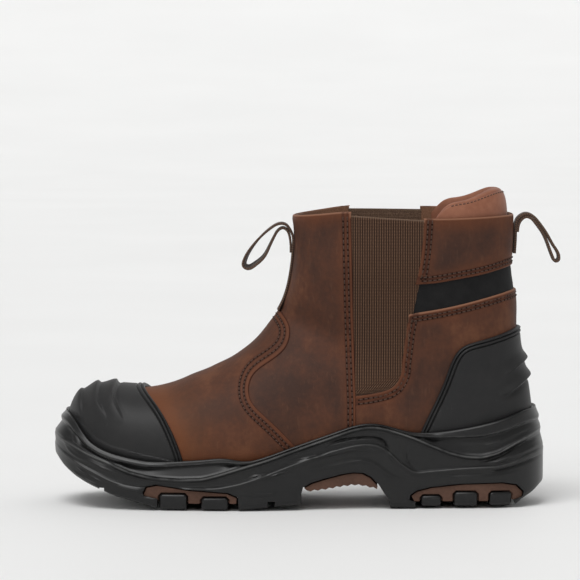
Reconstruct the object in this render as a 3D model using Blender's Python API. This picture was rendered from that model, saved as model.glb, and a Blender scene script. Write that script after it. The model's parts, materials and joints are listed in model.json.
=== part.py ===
"""Left pull-on safety boot: a leather upper shaped on a last, closed underneath by a moulded sole.

Toe towards -X, heel towards +X, outer side of the foot towards -Y, floor at Z = 0.
Sizes are in millimetres, and make_solid() turns them into Blender's metres.
"""

import math
from collections import namedtuple

import bmesh
import bpy
import numpy as np

MM = 0.001
GAP = 0.3

# Driving sizes of the boot
SOLE_LENGTH = 308.6
TOE_X = -160.4
HEEL_X = TOE_X + SOLE_LENGTH
LAST_TOE_X = -149.0
LAST_TOE_Z = 46.0
LAST_HEEL_X = 139.3
BALL_WIDTH = 98.0
ANKLE_WIDTH = 73.0
COLLAR_WIDTH = 88.0
SHAFT_FRONT_X = -9.0
SHAFT_BACK_X = 129.7
INSTEP_HEIGHT = 126.5
COLLAR_HEIGHT = 184.0
FORM_TOP = 204.0
ACROSS = 90.0

# Layers of the wall, measured out from the shaft front's face
VAMP_FACE = 0.9
FRONT_FACE = 0.0
QUARTER_FACE = -0.7
STRIP_FACE = -1.0
STRIP_BED = -1.9
LINING_FACE = -2.9
TOE_CAP_FACE = 3.4
COUNTER_FACE = 1.6
GORE_FACE = -0.8
GORE_BACK = -2.4

# Colours seen in the photo, as linear base colour, roughness
FINISHES = {
    "leather": ((0.105, 0.042, 0.022), 0.62),
    "elastic": ((0.085, 0.050, 0.030), 0.90),
    "strip": ((0.012, 0.012, 0.012), 0.80),
    "pad": ((0.330, 0.140, 0.090), 0.55),
    "guard": ((0.016, 0.016, 0.016), 0.60),
    "webbing": ((0.040, 0.022, 0.015), 0.85),
    "insole": ((0.060, 0.060, 0.060), 0.90),
    "sole": ((0.014, 0.014, 0.014), 0.55),
    "tread": ((0.110, 0.052, 0.030), 0.70),
}


def spline(knots, values):
    """A natural cubic through the values, constant beyond its end knots."""
    knots = np.asarray(knots, float)
    values = np.asarray(values, float).reshape(len(knots), -1)
    steps = np.diff(knots)
    slopes = np.diff(values, axis=0) / steps[:, None]
    system = np.eye(len(knots))
    bend = np.zeros_like(values)
    for i in range(1, len(steps)):
        system[i, i - 1:i + 2] = steps[i - 1], 2 * (steps[i - 1] + steps[i]), steps[i]
        bend[i] = 6 * (slopes[i] - slopes[i - 1])
    bend = np.linalg.solve(system, bend)

    def at(where):
        where = np.clip(np.atleast_1d(np.asarray(where, float)), knots[0], knots[-1])
        i = np.clip(np.searchsorted(knots, where) - 1, 0, len(steps) - 1)
        h = steps[i][:, None]
        b = (where[:, None] - knots[i][:, None]) / h
        a = 1 - b
        arch = (a**3 - a) * bend[i] + (b**3 - b) * bend[i + 1]
        return a * values[i] + b * values[i + 1] + arch * h * h / 6

    return at


def curve_through(points, count):
    """count points along the smooth curve through the given ones."""
    points = np.asarray(points, float)
    along = np.concatenate([[0], np.cumsum(np.linalg.norm(np.diff(points, axis=0), axis=1))])
    return spline(along, points)(np.linspace(0, along[-1], count))


# The last: its top line from toe to collar and its under line from toe round the heel, in side view
RIDGE = [
    (LAST_TOE_X, LAST_TOE_Z),
    (-148.4, 56.0),
    (-144.4, 64.8),
    (-134.0, 70.8),
    (-119.0, 71.6),
    (-104.0, 71.0),
    (-93.8, 72.4),
    (-81.0, 76.2),
    (-68.5, 81.6),
    (-55.9, 87.2),
    (-43.3, 94.2),
    (-32.6, 102.8),
    (-23.8, 113.8),
    (-16.2, INSTEP_HEIGHT),
    (-12.4, 138.0),
    (-10.6, 148.0),
    (SHAFT_FRONT_X - 0.4, 160.0),
    (SHAFT_FRONT_X - 0.6, 174.0),
    (SHAFT_FRONT_X - 1.2, COLLAR_HEIGHT),
    (SHAFT_FRONT_X - 1.4, FORM_TOP),
]
KEEL = [
    (LAST_TOE_X, LAST_TOE_Z),
    (-147.6, 38.0),
    (-142.0, 31.6),
    (-129.0, 26.6),
    (-105.0, 22.2),
    (-70.0, 19.5),
    (-30.0, 20.0),
    (10.0, 24.0),
    (50.0, 29.5),
    (90.0, 31.5),
    (118.0, 32.5),
    (130.4, 36.0),
    (136.8, 44.0),
    (LAST_HEEL_X, 56.0),
    (138.4, 68.0),
    (136.5, 80.0),
    (134.1, 92.0),
    (132.2, 104.0),
    (131.8, 116.0),
    (SHAFT_BACK_X + 1.9, 130.0),
    (SHAFT_BACK_X - 0.6, 145.0),
    (SHAFT_BACK_X - 0.1, 165.0),
    (SHAFT_BACK_X, COLLAR_HEIGHT),
    (SHAFT_BACK_X, FORM_TOP),
]

# Cross sections: upright planes along the forefoot (station 0 to 1), planes fanned about a pivot in
# front of the throat (1 to 2), then level planes up the shaft (2 to 3). Half widths run from the centre.
PIVOT_X = -46.4
PIVOT_Z = 138.0
BALL = BALL_WIDTH / 2
ANKLE = ANKLE_WIDTH / 2
COLLAR = COLLAR_WIDTH / 2
Section = namedtuple("Section", "station centre lateral medial widest top_square under_square")
SECTIONS = [
    Section(0.00, 6.0, 0.96 * BALL, 0.88 * BALL, 0.60, 2.2, 2.6),
    Section(0.30, 5.0, 0.96 * BALL, 0.89 * BALL, 0.66, 2.3, 3.0),
    Section(0.55, 4.0, 0.98 * BALL, 0.91 * BALL, 0.71, 2.2, 3.2),
    Section(0.80, 3.0, 1.03 * BALL, 0.94 * BALL, 0.73, 2.05, 3.4),
    Section(1.00, 2.5, 1.05 * BALL, 0.93 * BALL, 0.73, 1.95, 3.4),
    Section(1.25, 2.0, 0.97 * BALL, 0.86 * BALL, 0.71, 1.95, 3.4),
    Section(1.50, 1.0, 1.13 * ANKLE, 1.04 * ANKLE, 0.67, 2.0, 3.2),
    Section(1.67, 0.5, 1.00 * ANKLE, 0.98 * ANKLE, 0.61, 2.1, 3.0),
    Section(1.80, 0.0, 1.01 * ANKLE, 1.00 * ANKLE, 0.56, 2.2, 2.7),
    Section(2.00, 0.0, 0.93 * COLLAR, 0.93 * COLLAR, 0.50, 2.3, 2.5),
    Section(2.50, 0.0, 0.99 * COLLAR, 0.99 * COLLAR, 0.50, 2.35, 2.4),
    Section(3.00, 0.0, 1.00 * COLLAR, 1.00 * COLLAR, 0.50, 2.4, 2.4),
]
TOE_ROUND_STATION = 0.55
TOE_ROUND_POWER = 2.3
STATION_COUNT = 29
TOE_DENSITY = 1.6
ANGLE_COUNT = 26
ANGLES = np.arange(ANGLE_COUNT) * 2 * math.pi / ANGLE_COUNT


def station_of(x, z):
    """Which cross section a side-view point lies on."""
    forefoot = (x - LAST_TOE_X) / (PIVOT_X - LAST_TOE_X)
    ankle = 1 + np.arctan2(x - PIVOT_X, PIVOT_Z - z) / (math.pi / 2)
    shaft = 2 + (z - PIVOT_Z) / (FORM_TOP - PIVOT_Z)
    return np.where(x < PIVOT_X, forefoot, np.where(z > PIVOT_Z, shaft, ankle))


def line_by_station(points):
    """The side-view line as a function of the station."""
    line = curve_through(points, 900)
    stations = np.maximum.accumulate(station_of(line[:, 0], line[:, 1]))

    def at(station):
        return np.stack([np.interp(station, stations, line[:, k]) for k in (0, 1)], axis=-1)

    return at


ridge_at = line_by_station(RIDGE)
keel_at = line_by_station(KEEL)
section_at = spline([s.station for s in SECTIONS], SECTIONS)


def chosen_stations():
    """Stations at even steps along the last, closer together at the toe."""
    fine = np.linspace(0, 3, 3001)
    ridge, keel = ridge_at(fine), keel_at(fine)
    step = np.linalg.norm(np.diff(ridge, axis=0), axis=1) + np.linalg.norm(np.diff(keel, axis=0), axis=1)
    step = step * np.where(fine[1:] < 0.7, TOE_DENSITY, 1.0)
    run = np.concatenate([[0], np.cumsum(step)])
    return np.interp(np.linspace(0, run[-1], STATION_COUNT), run, fine)


def last_grid():
    """Points and outward normals of the last, one row for each station and a column for each angle."""
    stations = chosen_stations()
    ridge, keel = ridge_at(stations), keel_at(stations)
    rows = [Section(*values) for values in section_at(stations)]
    points = np.zeros((len(stations), ANGLE_COUNT, 3))
    top = np.cos(ANGLES) > 0
    for i, row in enumerate(rows):
        square = np.where(top, row.top_square, row.under_square)
        down = np.abs(np.cos(ANGLES)) ** (2 / square)
        out = np.abs(np.sin(ANGLES)) ** (2 / square) * np.sign(np.sin(ANGLES))
        depth = np.where(top, row.widest * (1 - down), row.widest + (1 - row.widest) * down)
        tip = max(0.0, 1 - stations[i] / TOE_ROUND_STATION)
        rounding = (1 - tip**TOE_ROUND_POWER) ** (1 / TOE_ROUND_POWER)
        points[i, :, 0] = ridge[i, 0] + (keel[i, 0] - ridge[i, 0]) * depth
        points[i, :, 2] = ridge[i, 1] + (keel[i, 1] - ridge[i, 1]) * depth
        points[i, :, 1] = row.centre + rounding * out * np.where(out > 0, row.medial, row.lateral)
    around = np.roll(points, -1, axis=1) - np.roll(points, 1, axis=1)
    along = np.gradient(points, axis=0)
    normals = np.cross(along, around)
    normals[0] = (-1, 0, 0)
    normals /= np.linalg.norm(normals, axis=2, keepdims=True)
    return points, normals


LAST_POINTS, LAST_NORMALS = last_grid()


def make_solid(name, points, faces):
    """A mesh object from points in millimetres, with its faces turned outwards."""
    mesh = bpy.data.meshes.new(name)
    mesh.from_pydata((np.asarray(points) * MM).tolist(), [], faces)
    shaped = bmesh.new()
    shaped.from_mesh(mesh)
    bmesh.ops.recalc_face_normals(shaped, faces=shaped.faces)
    shaped.to_mesh(mesh)
    shaped.free()
    solid = bpy.data.objects.new(name, mesh)
    bpy.context.scene.collection.objects.link(solid)
    return solid


def combine(target, operation, *others):
    """Applies a Boolean with each of the others in turn and removes them."""
    for other in others:
        modifier = target.modifiers.new(operation, "BOOLEAN")
        modifier.operation = operation
        modifier.object = other
        graph = bpy.context.evaluated_depsgraph_get()
        mesh = bpy.data.meshes.new_from_object(target.evaluated_get(graph))
        target.modifiers.clear()
        target.data = mesh
        bpy.data.objects.remove(other)
    return target


def union(target, *others):
    return combine(target, "UNION", *others)


def cut(target, *others):
    return combine(target, "DIFFERENCE", *others)


def common(target, *others):
    return combine(target, "INTERSECT", *others)


def finish(solid, finish_name):
    """Gives a piece its material and smooth shading with sharp edges."""
    colour, roughness = FINISHES[finish_name]
    material = bpy.data.materials.get(finish_name) or bpy.data.materials.new(finish_name)
    material.use_nodes = True
    shader = material.node_tree.nodes["Principled BSDF"]
    shader.inputs["Base Color"].default_value = (*colour, 1)
    shader.inputs["Roughness"].default_value = roughness
    solid.data.materials.clear()
    solid.data.materials.append(material)
    solid.data.shade_smooth()
    solid.data.set_sharp_from_angle(angle=math.radians(35))
    solid.data.name = solid.name
    return solid


def form(offset):
    """A closed body of the last's shape, its face moved out by a size or by a function of the points."""
    moved = offset(LAST_POINTS) if callable(offset) else np.full(LAST_POINTS.shape[:2], offset)
    grid = LAST_POINTS + LAST_NORMALS * moved[..., None]
    rings = grid[1:].reshape(-1, 3)
    points = np.vstack([grid[:1, 0], rings])
    count = ANGLE_COUNT
    faces = [(0, 1 + j, 1 + (j + 1) % count) for j in range(count)]
    for i in range(len(grid) - 2):
        start = 1 + i * count
        for j in range(count):
            k = (j + 1) % count
            faces.append((start + j, start + count + j, start + count + k, start + k))
    faces.append(tuple(range(len(points) - count, len(points))))
    return make_solid("form", points, faces)


def side_prism(outline, low=-ACROSS, high=ACROSS):
    """A side-view outline of (x, z) points drawn out across the boot."""
    outline = [tuple(p) for p in outline]
    count = len(outline)
    points = [(x, low, z) for x, z in outline] + [(x, high, z) for x, z in outline]
    faces = [tuple(range(count)), tuple(range(2 * count - 1, count - 1, -1))]
    faces += [(i, (i + 1) % count, count + (i + 1) % count, count + i) for i in range(count)]
    return make_solid("prism", points, faces)


def block(low, high, rounding=0.0):
    """A box between two corners, with its edges bevelled off by rounding."""
    shaped = bmesh.new()
    bmesh.ops.create_cube(shaped, size=1)
    low, high = np.asarray(low, float), np.asarray(high, float)
    for vert in shaped.verts:
        vert.co = (low + high) / 2 + np.asarray(vert.co) * (high - low)
    if rounding:
        bmesh.ops.bevel(shaped, geom=shaped.edges[:], offset=rounding, segments=1, affect="EDGES")
    shaped.verts.index_update()
    points = [tuple(v.co) for v in shaped.verts]
    faces = [tuple(v.index for v in f.verts) for f in shaped.faces]
    shaped.free()
    return make_solid("block", points, faces)


def layer(outer, inner, *regions):
    """A piece of the wall between two forms of the last, inside every region."""
    return cut(common(form(outer), *regions), form(inner))


# Side-view lines that the panels are cut to, each drawn smoothly through its few points
VAMP_EDGE = curve_through(
    [(-30.0, 136.0), (-19.0, 122.5), (-12.0, 112.0), (-13.0, 102.5), (-25.0, 90.5), (-36.0, 80.5),
     (-36.5, 69.0), (-28.0, 59.0), (-8.6, 39.8), (10.0, 18.0)], 23)
TOE_CAP_EDGE = curve_through(
    [(-112.0, 92.0), (-104.5, 75.4), (-93.8, 62.5), (-86.2, 47.5), (-81.5, 32.0), (-79.0, 16.0)], 11)
COUNTER_EDGE = curve_through(
    [(66.0, 28.0), (72.0, 47.0), (83.4, 74.5), (91.5, 93.0), (98.0, 100.5), (112.0, 106.0),
     (131.0, 112.0), (146.0, 116.0)], 16)
STRIP_TOP = [(40.0, 137.0), (67.5, 140.0), (101.8, 145.0), (128.3, 150.0), (150.0, 154.0)]
STRIP_UNDER = [(40.0, 115.5), (65.2, 119.3), (101.8, 126.8), (129.6, 132.0), (150.0, 136.0)]
COLLAR_LINE = [
    (-40.0, 179.0), (-9.0, 180.5), (10.0, 184.0), (27.0, 186.5), (78.0, 185.0), (100.0, 183.6),
    (150.0, 184.6)]
FRONT_SEAM_X = 29.4
GORE_TOP = ((28.0, 184.8), (73.3, 183.4))
GORE_CORNER = curve_through([(FRONT_SEAM_X, 67.5), (47.0, 70.0), (55.0, 78.0), (58.0, 90.0)], 8)
GORE_REAR = [(61.0, 107.0), (65.0, 123.0), (68.0, 142.0)]
FAR = 220.0
UNDER = -30.0


def footbed(x):
    """Height of the last's under line along the foot, level past its ends."""
    x = np.clip(x, -140.0, 130.0)
    along = np.linspace(0, 1.67, 400)
    line = keel_at(along)
    return np.interp(x, line[:, 0], line[:, 1])


WINDOW_ABOVE = 10.0
FOOT_X = np.linspace(-166, 154, 23)
FEATHER_RISE = 4.5
INSOLE_RISE = FEATHER_RISE - GAP


def below_footbed(rise):
    """Everything under the line that lies rise above the foot bed."""
    line = [(x, footbed(x) + rise) for x in FOOT_X]
    return side_prism([(FOOT_X[0], UNDER), (FOOT_X[-1], UNDER)] + line[::-1])


def gore_outline(inset, above):
    """Outline of the elastic panel, drawn in by inset from its window and taken above its top line."""
    (front_x, front_z), (rear_x, rear_z) = GORE_TOP
    front_x += above * (front_x - GORE_CORNER[0][0]) / (front_z - GORE_CORNER[0][1])
    rear_x += above * (rear_x - GORE_REAR[-1][0]) / (rear_z - GORE_REAR[-1][1])
    corner = [(x - inset * t, z + inset * (1 - t)) for t, (x, z) in zip(np.linspace(0, 1, 8), GORE_CORNER)]
    corner[0] = (GORE_CORNER[0][0] + inset, GORE_CORNER[0][1] + inset)
    rear = [(x - inset, z) for x, z in GORE_REAR]
    ends = [(rear_x - inset, rear_z + above), (front_x + inset, front_z + above)]
    return corner + rear + ends


# Upper: the last's wall with a step where each panel laps the next
def make_upper():
    front_region = [(-70, UNDER), (FRONT_SEAM_X, UNDER), (FRONT_SEAM_X, 66), (48, 78), (48, FAR), (-70, FAR)]
    vamp_region = [*VAMP_EDGE, (10, UNDER), (-FAR, UNDER), (-FAR, 136)]
    quarter_region = [(18, UNDER), (18, 111), *STRIP_UNDER, (FAR, 150), (FAR, UNDER)]
    band_region = [*STRIP_TOP, (FAR, 165), (FAR, FAR), (40, FAR)]
    upper = form(STRIP_BED)
    for face, region in (
        (QUARTER_FACE, quarter_region),
        (QUARTER_FACE, band_region),
        (FRONT_FACE, front_region),
        (VAMP_FACE, vamp_region),
    ):
        union(upper, common(form(face), side_prism(region)))
    above_collar = side_prism([*COLLAR_LINE, (FAR, 184.6), (FAR, FAR), (-40, FAR)])
    windows = side_prism(gore_outline(0.0, WINDOW_ABOVE))
    cut(upper, form(LINING_FACE), below_footbed(FEATHER_RISE), above_collar, windows)
    upper.name = "upper"
    finish(upper, "leather")


def make_gores():
    """The two elastic panels, let into the windows of the upper."""
    for name, low, high in (("gore_lateral", -ACROSS, 0), ("gore_medial", 0, ACROSS)):
        panel = layer(GORE_FACE, GORE_BACK, side_prism(gore_outline(GAP, 0.0), low, high))
        panel.name = name
        finish(panel, "elastic")


def make_strip():
    """The black strip inset between the collar band and the quarters."""
    top = [(x, z - GAP) for x, z in STRIP_TOP]
    under = [(x, z + GAP) for x, z in STRIP_UNDER]
    rear = side_prism([(66.5, 110), (70.5, 145), (FAR, 160), (FAR, 110)])
    strip = layer(STRIP_FACE, STRIP_BED + GAP, side_prism([*top, *under[::-1]]), rear)
    strip.name = "collar_strip"
    finish(strip, "strip")


# Moulded folds that stand up across the toe guard and round the heel guard, as side-view wedges
FOLD_HEIGHT = 1.5
TOE_FOLDS = [
    [(-149.0, 90.0), (-142.0, 90.0), (-141.2, 60.0)],
    [(-137.5, 90.0), (-130.5, 90.0), (-127.8, 59.0)],
    [(-126.0, 90.0), (-118.5, 90.0), (-119.0, 54.0)],
]
HEEL_FOLDS = [
    [(121.5, 83.5), (146.0, 98.4), (146.0, 105.0)],
    [(122.0, 71.0), (146.0, 88.6), (146.0, 95.0)],
]


def make_guard(name, face, bed, folds, outline):
    """A moulded guard over the upper, with its folds standing up from its face."""
    solid = form(face)
    union(solid, *(common(form(face + FOLD_HEIGHT), side_prism(fold)) for fold in folds))
    cut(common(solid, side_prism(outline)), form(bed + GAP), below_footbed(FEATHER_RISE))
    solid.name = name
    finish(solid, "guard")


def make_guards():
    toe = [*TOE_CAP_EDGE, (-79, UNDER), (-FAR, UNDER), (-FAR, 92)]
    heel = [*COUNTER_EDGE, (FAR, 116), (FAR, UNDER), (66, UNDER)]
    make_guard("toe_cap", TOE_CAP_FACE, VAMP_FACE, TOE_FOLDS, toe)
    make_guard("heel_counter", COUNTER_FACE, QUARTER_FACE, HEEL_FOLDS, heel)


# Padded roll inside the back of the collar, by its share of the way from the back to its front end
PAD_FIRST_ANGLE = math.radians(96)
PAD_RING = 12
Pad = namedtuple("Pad", "share top under thick")
PAD = [
    Pad(0.00, 197.0, 158.0, 12.5),
    Pad(0.30, 198.6, 157.0, 12.5),
    Pad(0.55, 195.8, 157.5, 11.5),
    Pad(0.80, 192.4, 160.0, 8.5),
    Pad(1.00, 187.6, 165.0, 3.2),
]
pad_at = spline([row.share for row in PAD], PAD)


def make_collar_pad():
    level = int(np.argmin(np.abs(LAST_POINTS[:, 0, 2] - COLLAR_HEIGHT)))
    columns = [j for j, a in enumerate(ANGLES) if PAD_FIRST_ANGLE < a < 2 * math.pi - PAD_FIRST_ANGLE]
    points = []
    for j in columns:
        roll = Pad(*pad_at(abs(ANGLES[j] - math.pi) / (math.pi - PAD_FIRST_ANGLE))[0])
        for k in range(PAD_RING):
            turn = 2 * math.pi * k / PAD_RING
            inward = GAP + roll.thick / 2 * (1 - math.cos(turn)) - LINING_FACE
            spot = LAST_POINTS[level, j] - LAST_NORMALS[level, j] * inward
            height = (roll.top + roll.under) / 2 + (roll.top - roll.under) / 2 * math.sin(turn)
            points.append((spot[0], spot[1], height))
    faces = [tuple(range(PAD_RING)), tuple(range(len(points) - 1, len(points) - PAD_RING - 1, -1))]
    for i in range(len(columns) - 1):
        for k in range(PAD_RING):
            a, b = i * PAD_RING + k, i * PAD_RING + (k + 1) % PAD_RING
            faces.append((a, b, b + PAD_RING, a + PAD_RING))
    finish(make_solid("collar_pad", points, faces), "pad")


# Webbing pull loops: a strip sewn to the upper and a loop of the same webbing standing off it
WEB_WIDTH = 14.0
WEB_THICK = 1.5
LOOP_THICK = 2.0
FRONT_LOOP = [
    (-11.2, 172.4), (-14.8, 175.4), (-20.8, 174.4), (-28.6, 168.4), (-36.4, 160.0), (-40.3, 152.4),
    (-38.2, 148.9), (-34.0, 150.4), (-28.0, 156.4), (-23.4, 162.6), (-19.6, 168.2), (-15.8, 170.4),
    (-12.2, 167.0), (-11.4, 162.0)]
REAR_LOOP = [
    (130.4, 171.0), (132.4, 178.0), (136.4, 182.0), (140.8, 181.0), (145.4, 176.2), (151.6, 166.0),
    (158.0, 156.6), (159.6, 153.2), (157.2, 151.6), (153.0, 154.2), (148.6, 162.4), (144.6, 171.4),
    (141.6, 176.2), (138.6, 178.0), (135.6, 176.6), (133.2, 172.6), (130.8, 164.0)]
FRONT_LOOP_POINTS = 28
REAR_LOOP_POINTS = 34
FRONT_STRIP_Z = (125.5, 177.0)
REAR_STRIP_Z = (157.5, 176.5)


def ribbon_outline(path, thickness, count):
    """Side-view outline of a ribbon that follows a path."""
    line = curve_through(path, count)
    run = np.gradient(line, axis=0)
    run /= np.linalg.norm(run, axis=1, keepdims=True)
    side = np.stack([-run[:, 1], run[:, 0]], axis=1) * thickness / 2
    return [*(line + side), *(line - side)[::-1]]


def make_pull_loop(name, under_face, path, count, strip_low, strip_high):
    half = WEB_WIDTH / 2
    loop = layer(under_face + GAP + WEB_THICK, under_face + GAP, block(strip_low, strip_high))
    union(loop, side_prism(ribbon_outline(path, LOOP_THICK, count), -half, half))
    loop.name = name
    finish(loop, "webbing")


def make_pull_loops():
    half = WEB_WIDTH / 2
    low, high = FRONT_STRIP_Z
    strip = (-60, -half, low), (20, half, high)
    make_pull_loop("pull_loop_front", FRONT_FACE, FRONT_LOOP, FRONT_LOOP_POINTS, *strip)
    low, high = REAR_STRIP_Z
    strip = (100, -half, low), (FAR, half, high)
    make_pull_loop("pull_loop_rear", QUARTER_FACE, REAR_LOOP, REAR_LOOP_POINTS, *strip)


# Sole: plan outline, and lines along its side as heights over the floor
Plan = namedtuple("Plan", "x centre lateral medial")
SOLE_PLAN = [
    Plan(TOE_X, 7.0, 57.0, 51.0),
    Plan(-95.0, 4.0, 56.5, 51.2),
    Plan(-70.0, 3.0, 58.6, 53.2),
    Plan(-40.0, 2.0, 58.4, 51.2),
    Plan(0.0, 1.0, 52.0, 44.6),
    Plan(40.0, 0.0, 45.2, 39.6),
    Plan(80.0, 0.0, 42.4, 40.4),
    Plan(110.0, 0.0, 41.6, 40.8),
    Plan(HEEL_X, 0.0, 41.0, 40.6),
]
TOE_END_X = -95.0
TOE_END_POWER = 2.35
HEEL_END_X = 104.0
HEEL_END_POWER = 2.3
SOLE_COLUMNS = 62
Side = namedtuple("Side", "x floor step crest rim crest_inset rim_inset")
SOLE_SIDE = [
    Side(TOE_X, 33.0, 38.6, 44.4, 59.0, 0.0, 2.6),
    Side(-155.0, 26.0, 34.6, 42.0, 57.6, 0.0, 2.6),
    Side(-147.0, 19.8, 29.8, 38.6, 49.0, 0.0, 2.6),
    Side(-139.0, 15.6, 25.4, 34.6, 40.6, 0.0, 2.4),
    Side(-131.0, 12.4, 22.0, 31.4, 36.0, 0.0, 2.2),
    Side(-123.0, 9.0, 18.4, 28.0, 32.6, 0.0, 2.0),
    Side(-112.0, 6.2, 15.4, 24.0, 29.8, 0.0, 1.8),
    Side(-101.0, 3.2, 14.2, 21.4, 28.4, 0.0, 1.6),
    Side(-92.0, 0.4, 13.9, 20.2, 29.0, 0.0, 1.6),
    Side(-80.0, 0.0, 13.8, 19.6, 30.0, 0.0, 1.6),
    Side(-56.0, 0.0, 14.6, 21.6, 31.6, 0.0, 1.6),
    Side(-49.0, 0.0, 16.0, 23.6, 31.2, 0.0, 1.6),
    Side(-43.0, 0.6, 17.2, 25.2, 30.8, 0.0, 1.6),
    Side(-31.0, 1.4, 21.0, 29.2, 31.0, 0.0, 1.6),
    Side(-24.0, 1.8, 23.6, 31.8, 33.4, 0.0, 1.6),
    Side(-9.0, 3.4, 29.2, 37.2, 38.6, 0.0, 1.6),
    Side(13.0, 2.0, 36.6, 45.2, 46.6, 0.0, 1.6),
    Side(32.0, 2.0, 41.0, 50.4, 51.8, 0.0, 1.6),
    Side(48.0, 1.0, 37.6, 48.4, 49.8, 0.0, 1.6),
    Side(58.0, 0.8, 28.0, 45.4, 46.8, 0.0, 1.6),
    Side(66.0, 0.0, 22.8, 42.8, 44.6, 0.0, 1.6),
    Side(78.0, 0.0, 24.0, 39.2, 44.8, 0.0, 1.6),
    Side(96.0, 0.0, 25.6, 32.8, 46.0, 0.0, 1.6),
    Side(106.0, 0.0, 26.0, 32.2, 47.6, 0.0, 1.8),
    Side(118.0, 0.0, 26.4, 34.4, 50.4, 0.2, 2.0),
    Side(128.0, 0.4, 28.4, 39.2, 53.8, 0.8, 2.6),
    Side(135.6, 6.2, 31.4, 42.8, 56.8, 1.2, 2.6),
    Side(141.0, 8.8, 33.0, 45.0, 58.8, 1.5, 2.8),
    Side(HEEL_X, 15.5, 35.0, 46.6, 60.4, 1.8, 2.8),
]
# Profile of the side from the floor up: which line it follows, the height over it, the distance out
Level = namedtuple("Level", "line above out")
SOLE_LEVELS = [
    Level("floor", 0.0, -3.0),
    Level("floor", 2.4, -0.6),
    Level("step", -1.4, 0.4),
    Level("step", 0.0, 0.3),
    Level("step", 0.9, -0.9),
    Level("crest", -2.6, -0.9),
    Level("crest", -1.0, 0.6),
    Level("crest", 0.0, 0.4),
    Level("crest", 0.9, -1.2),
    Level("rim", -2.4, -1.0),
    Level("rim", -0.9, 0.2),
    Level("rim", 0.0, -0.6),
    Level("rim", 0.0, -3.0),
    Level("rim", -0.6, -9.0),
]
INSETS = {"floor": None, "step": None, "crest": "crest_inset", "rim": "rim_inset"}
LEAST_RISE = 0.25


def side_line(name, x):
    return np.interp(x, [row.x for row in SOLE_SIDE], [getattr(row, name) for row in SOLE_SIDE])


def end_rounding(x, start, end, power):
    """1 up to start, then rounding off to 0 at end."""
    share = np.clip((x - start) / (end - start), 0, 1)
    return (1 - share**power) ** (1 / power)


def sole_plan(x):
    """Centre line and the half widths on the outer and inner side of the foot."""
    rows = spline([row.x for row in SOLE_PLAN], SOLE_PLAN)(x)
    ends = end_rounding(x, TOE_END_X, TOE_X, TOE_END_POWER)
    ends *= end_rounding(x, HEEL_END_X, HEEL_X, HEEL_END_POWER)
    return rows[:, 1], rows[:, 2] * ends, rows[:, 3] * ends


def sole_body(inset):
    """The sole as a closed body, its side drawn in by inset."""
    turn = 2 * math.pi * np.arange(SOLE_COLUMNS) / SOLE_COLUMNS
    x = (TOE_X + HEEL_X) / 2 - SOLE_LENGTH / 2 * np.cos(turn)
    centre, lateral, medial = sole_plan(x)
    y = centre + np.where(turn < math.pi, medial, -lateral)
    loop = np.stack([x, y], axis=1)
    run = np.roll(loop, -1, axis=0) - np.roll(loop, 1, axis=0)
    out = np.stack([run[:, 1], -run[:, 0]], axis=1)
    out /= np.linalg.norm(out, axis=1, keepdims=True)
    out *= np.sign(np.sum(out * (loop - (0, 2)), axis=1, keepdims=True))
    points = []
    height = np.full(SOLE_COLUMNS, -1.0)
    for number, level in enumerate(SOLE_LEVELS):
        wanted = side_line(level.line, x) + level.above
        if number < len(SOLE_LEVELS) - 2:
            wanted = np.maximum(wanted, height + LEAST_RISE)
        height = wanted
        distance = level.out - inset
        if INSETS[level.line]:
            distance = distance - side_line(INSETS[level.line], x)
        moved = loop + out * np.broadcast_to(distance, x.shape)[:, None]
        points.append(np.column_stack([moved, height]))
    count = SOLE_COLUMNS
    faces = []
    for i in range(len(SOLE_LEVELS) - 1):
        for j in range(count):
            k = (j + 1) % count
            faces.append((i * count + j, i * count + k, (i + 1) * count + k, (i + 1) * count + j))
    for start in (0, (len(SOLE_LEVELS) - 1) * count):
        faces.append((start, start + 1, start + count - 1))
        for j in range(1, count // 2 - 1):
            faces.append((start + j, start + j + 1, start + count - j - 1, start + count - j))
        faces.append((start + count // 2 - 1, start + count // 2, start + count // 2 + 1))
    return make_solid("sole", np.vstack(points), faces)


# Windows through the sole where the brown tread plates show, drawn in side view from front to back
Window = namedtuple("Window", "name roof plate_under")
WINDOWS = [
    Window(
        "forefoot",
        [(-103.0, -8.0), (-103.8, 9.0), (-101.0, 15.2), (-95.0, 16.4), (-75.0, 13.6), (-50.0, 11.6),
         (-44.0, 9.0), (-43.0, -8.0)],
        [(-103.1, 6.4), (-92.0, 4.4), (-44.2, 4.4)],
    ),
    Window(
        "arch",
        [(-5.0, -8.0), (-4.2, 10.0), (7.0, 17.0), (20.0, 20.6), (31.0, 21.8), (38.0, 19.4), (44.5, 12.0),
         (50.4, 5.0), (51.4, -8.0)],
        [(-3.6, 9.6), (10.0, 12.0), (30.0, 14.2), (44.0, 11.6)],
    ),
    Window(
        "heel",
        [(64.0, -8.0), (65.4, 7.0), (76.0, 13.2), (95.0, 15.8), (121.0, 16.4), (130.0, 14.8), (135.0, 9.0),
         (136.4, -8.0)],
        [(65.8, 4.6), (120.0, 4.6), (134.6, 7.4)],
    ),
]
PLATE_INSET = 1.8

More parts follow.
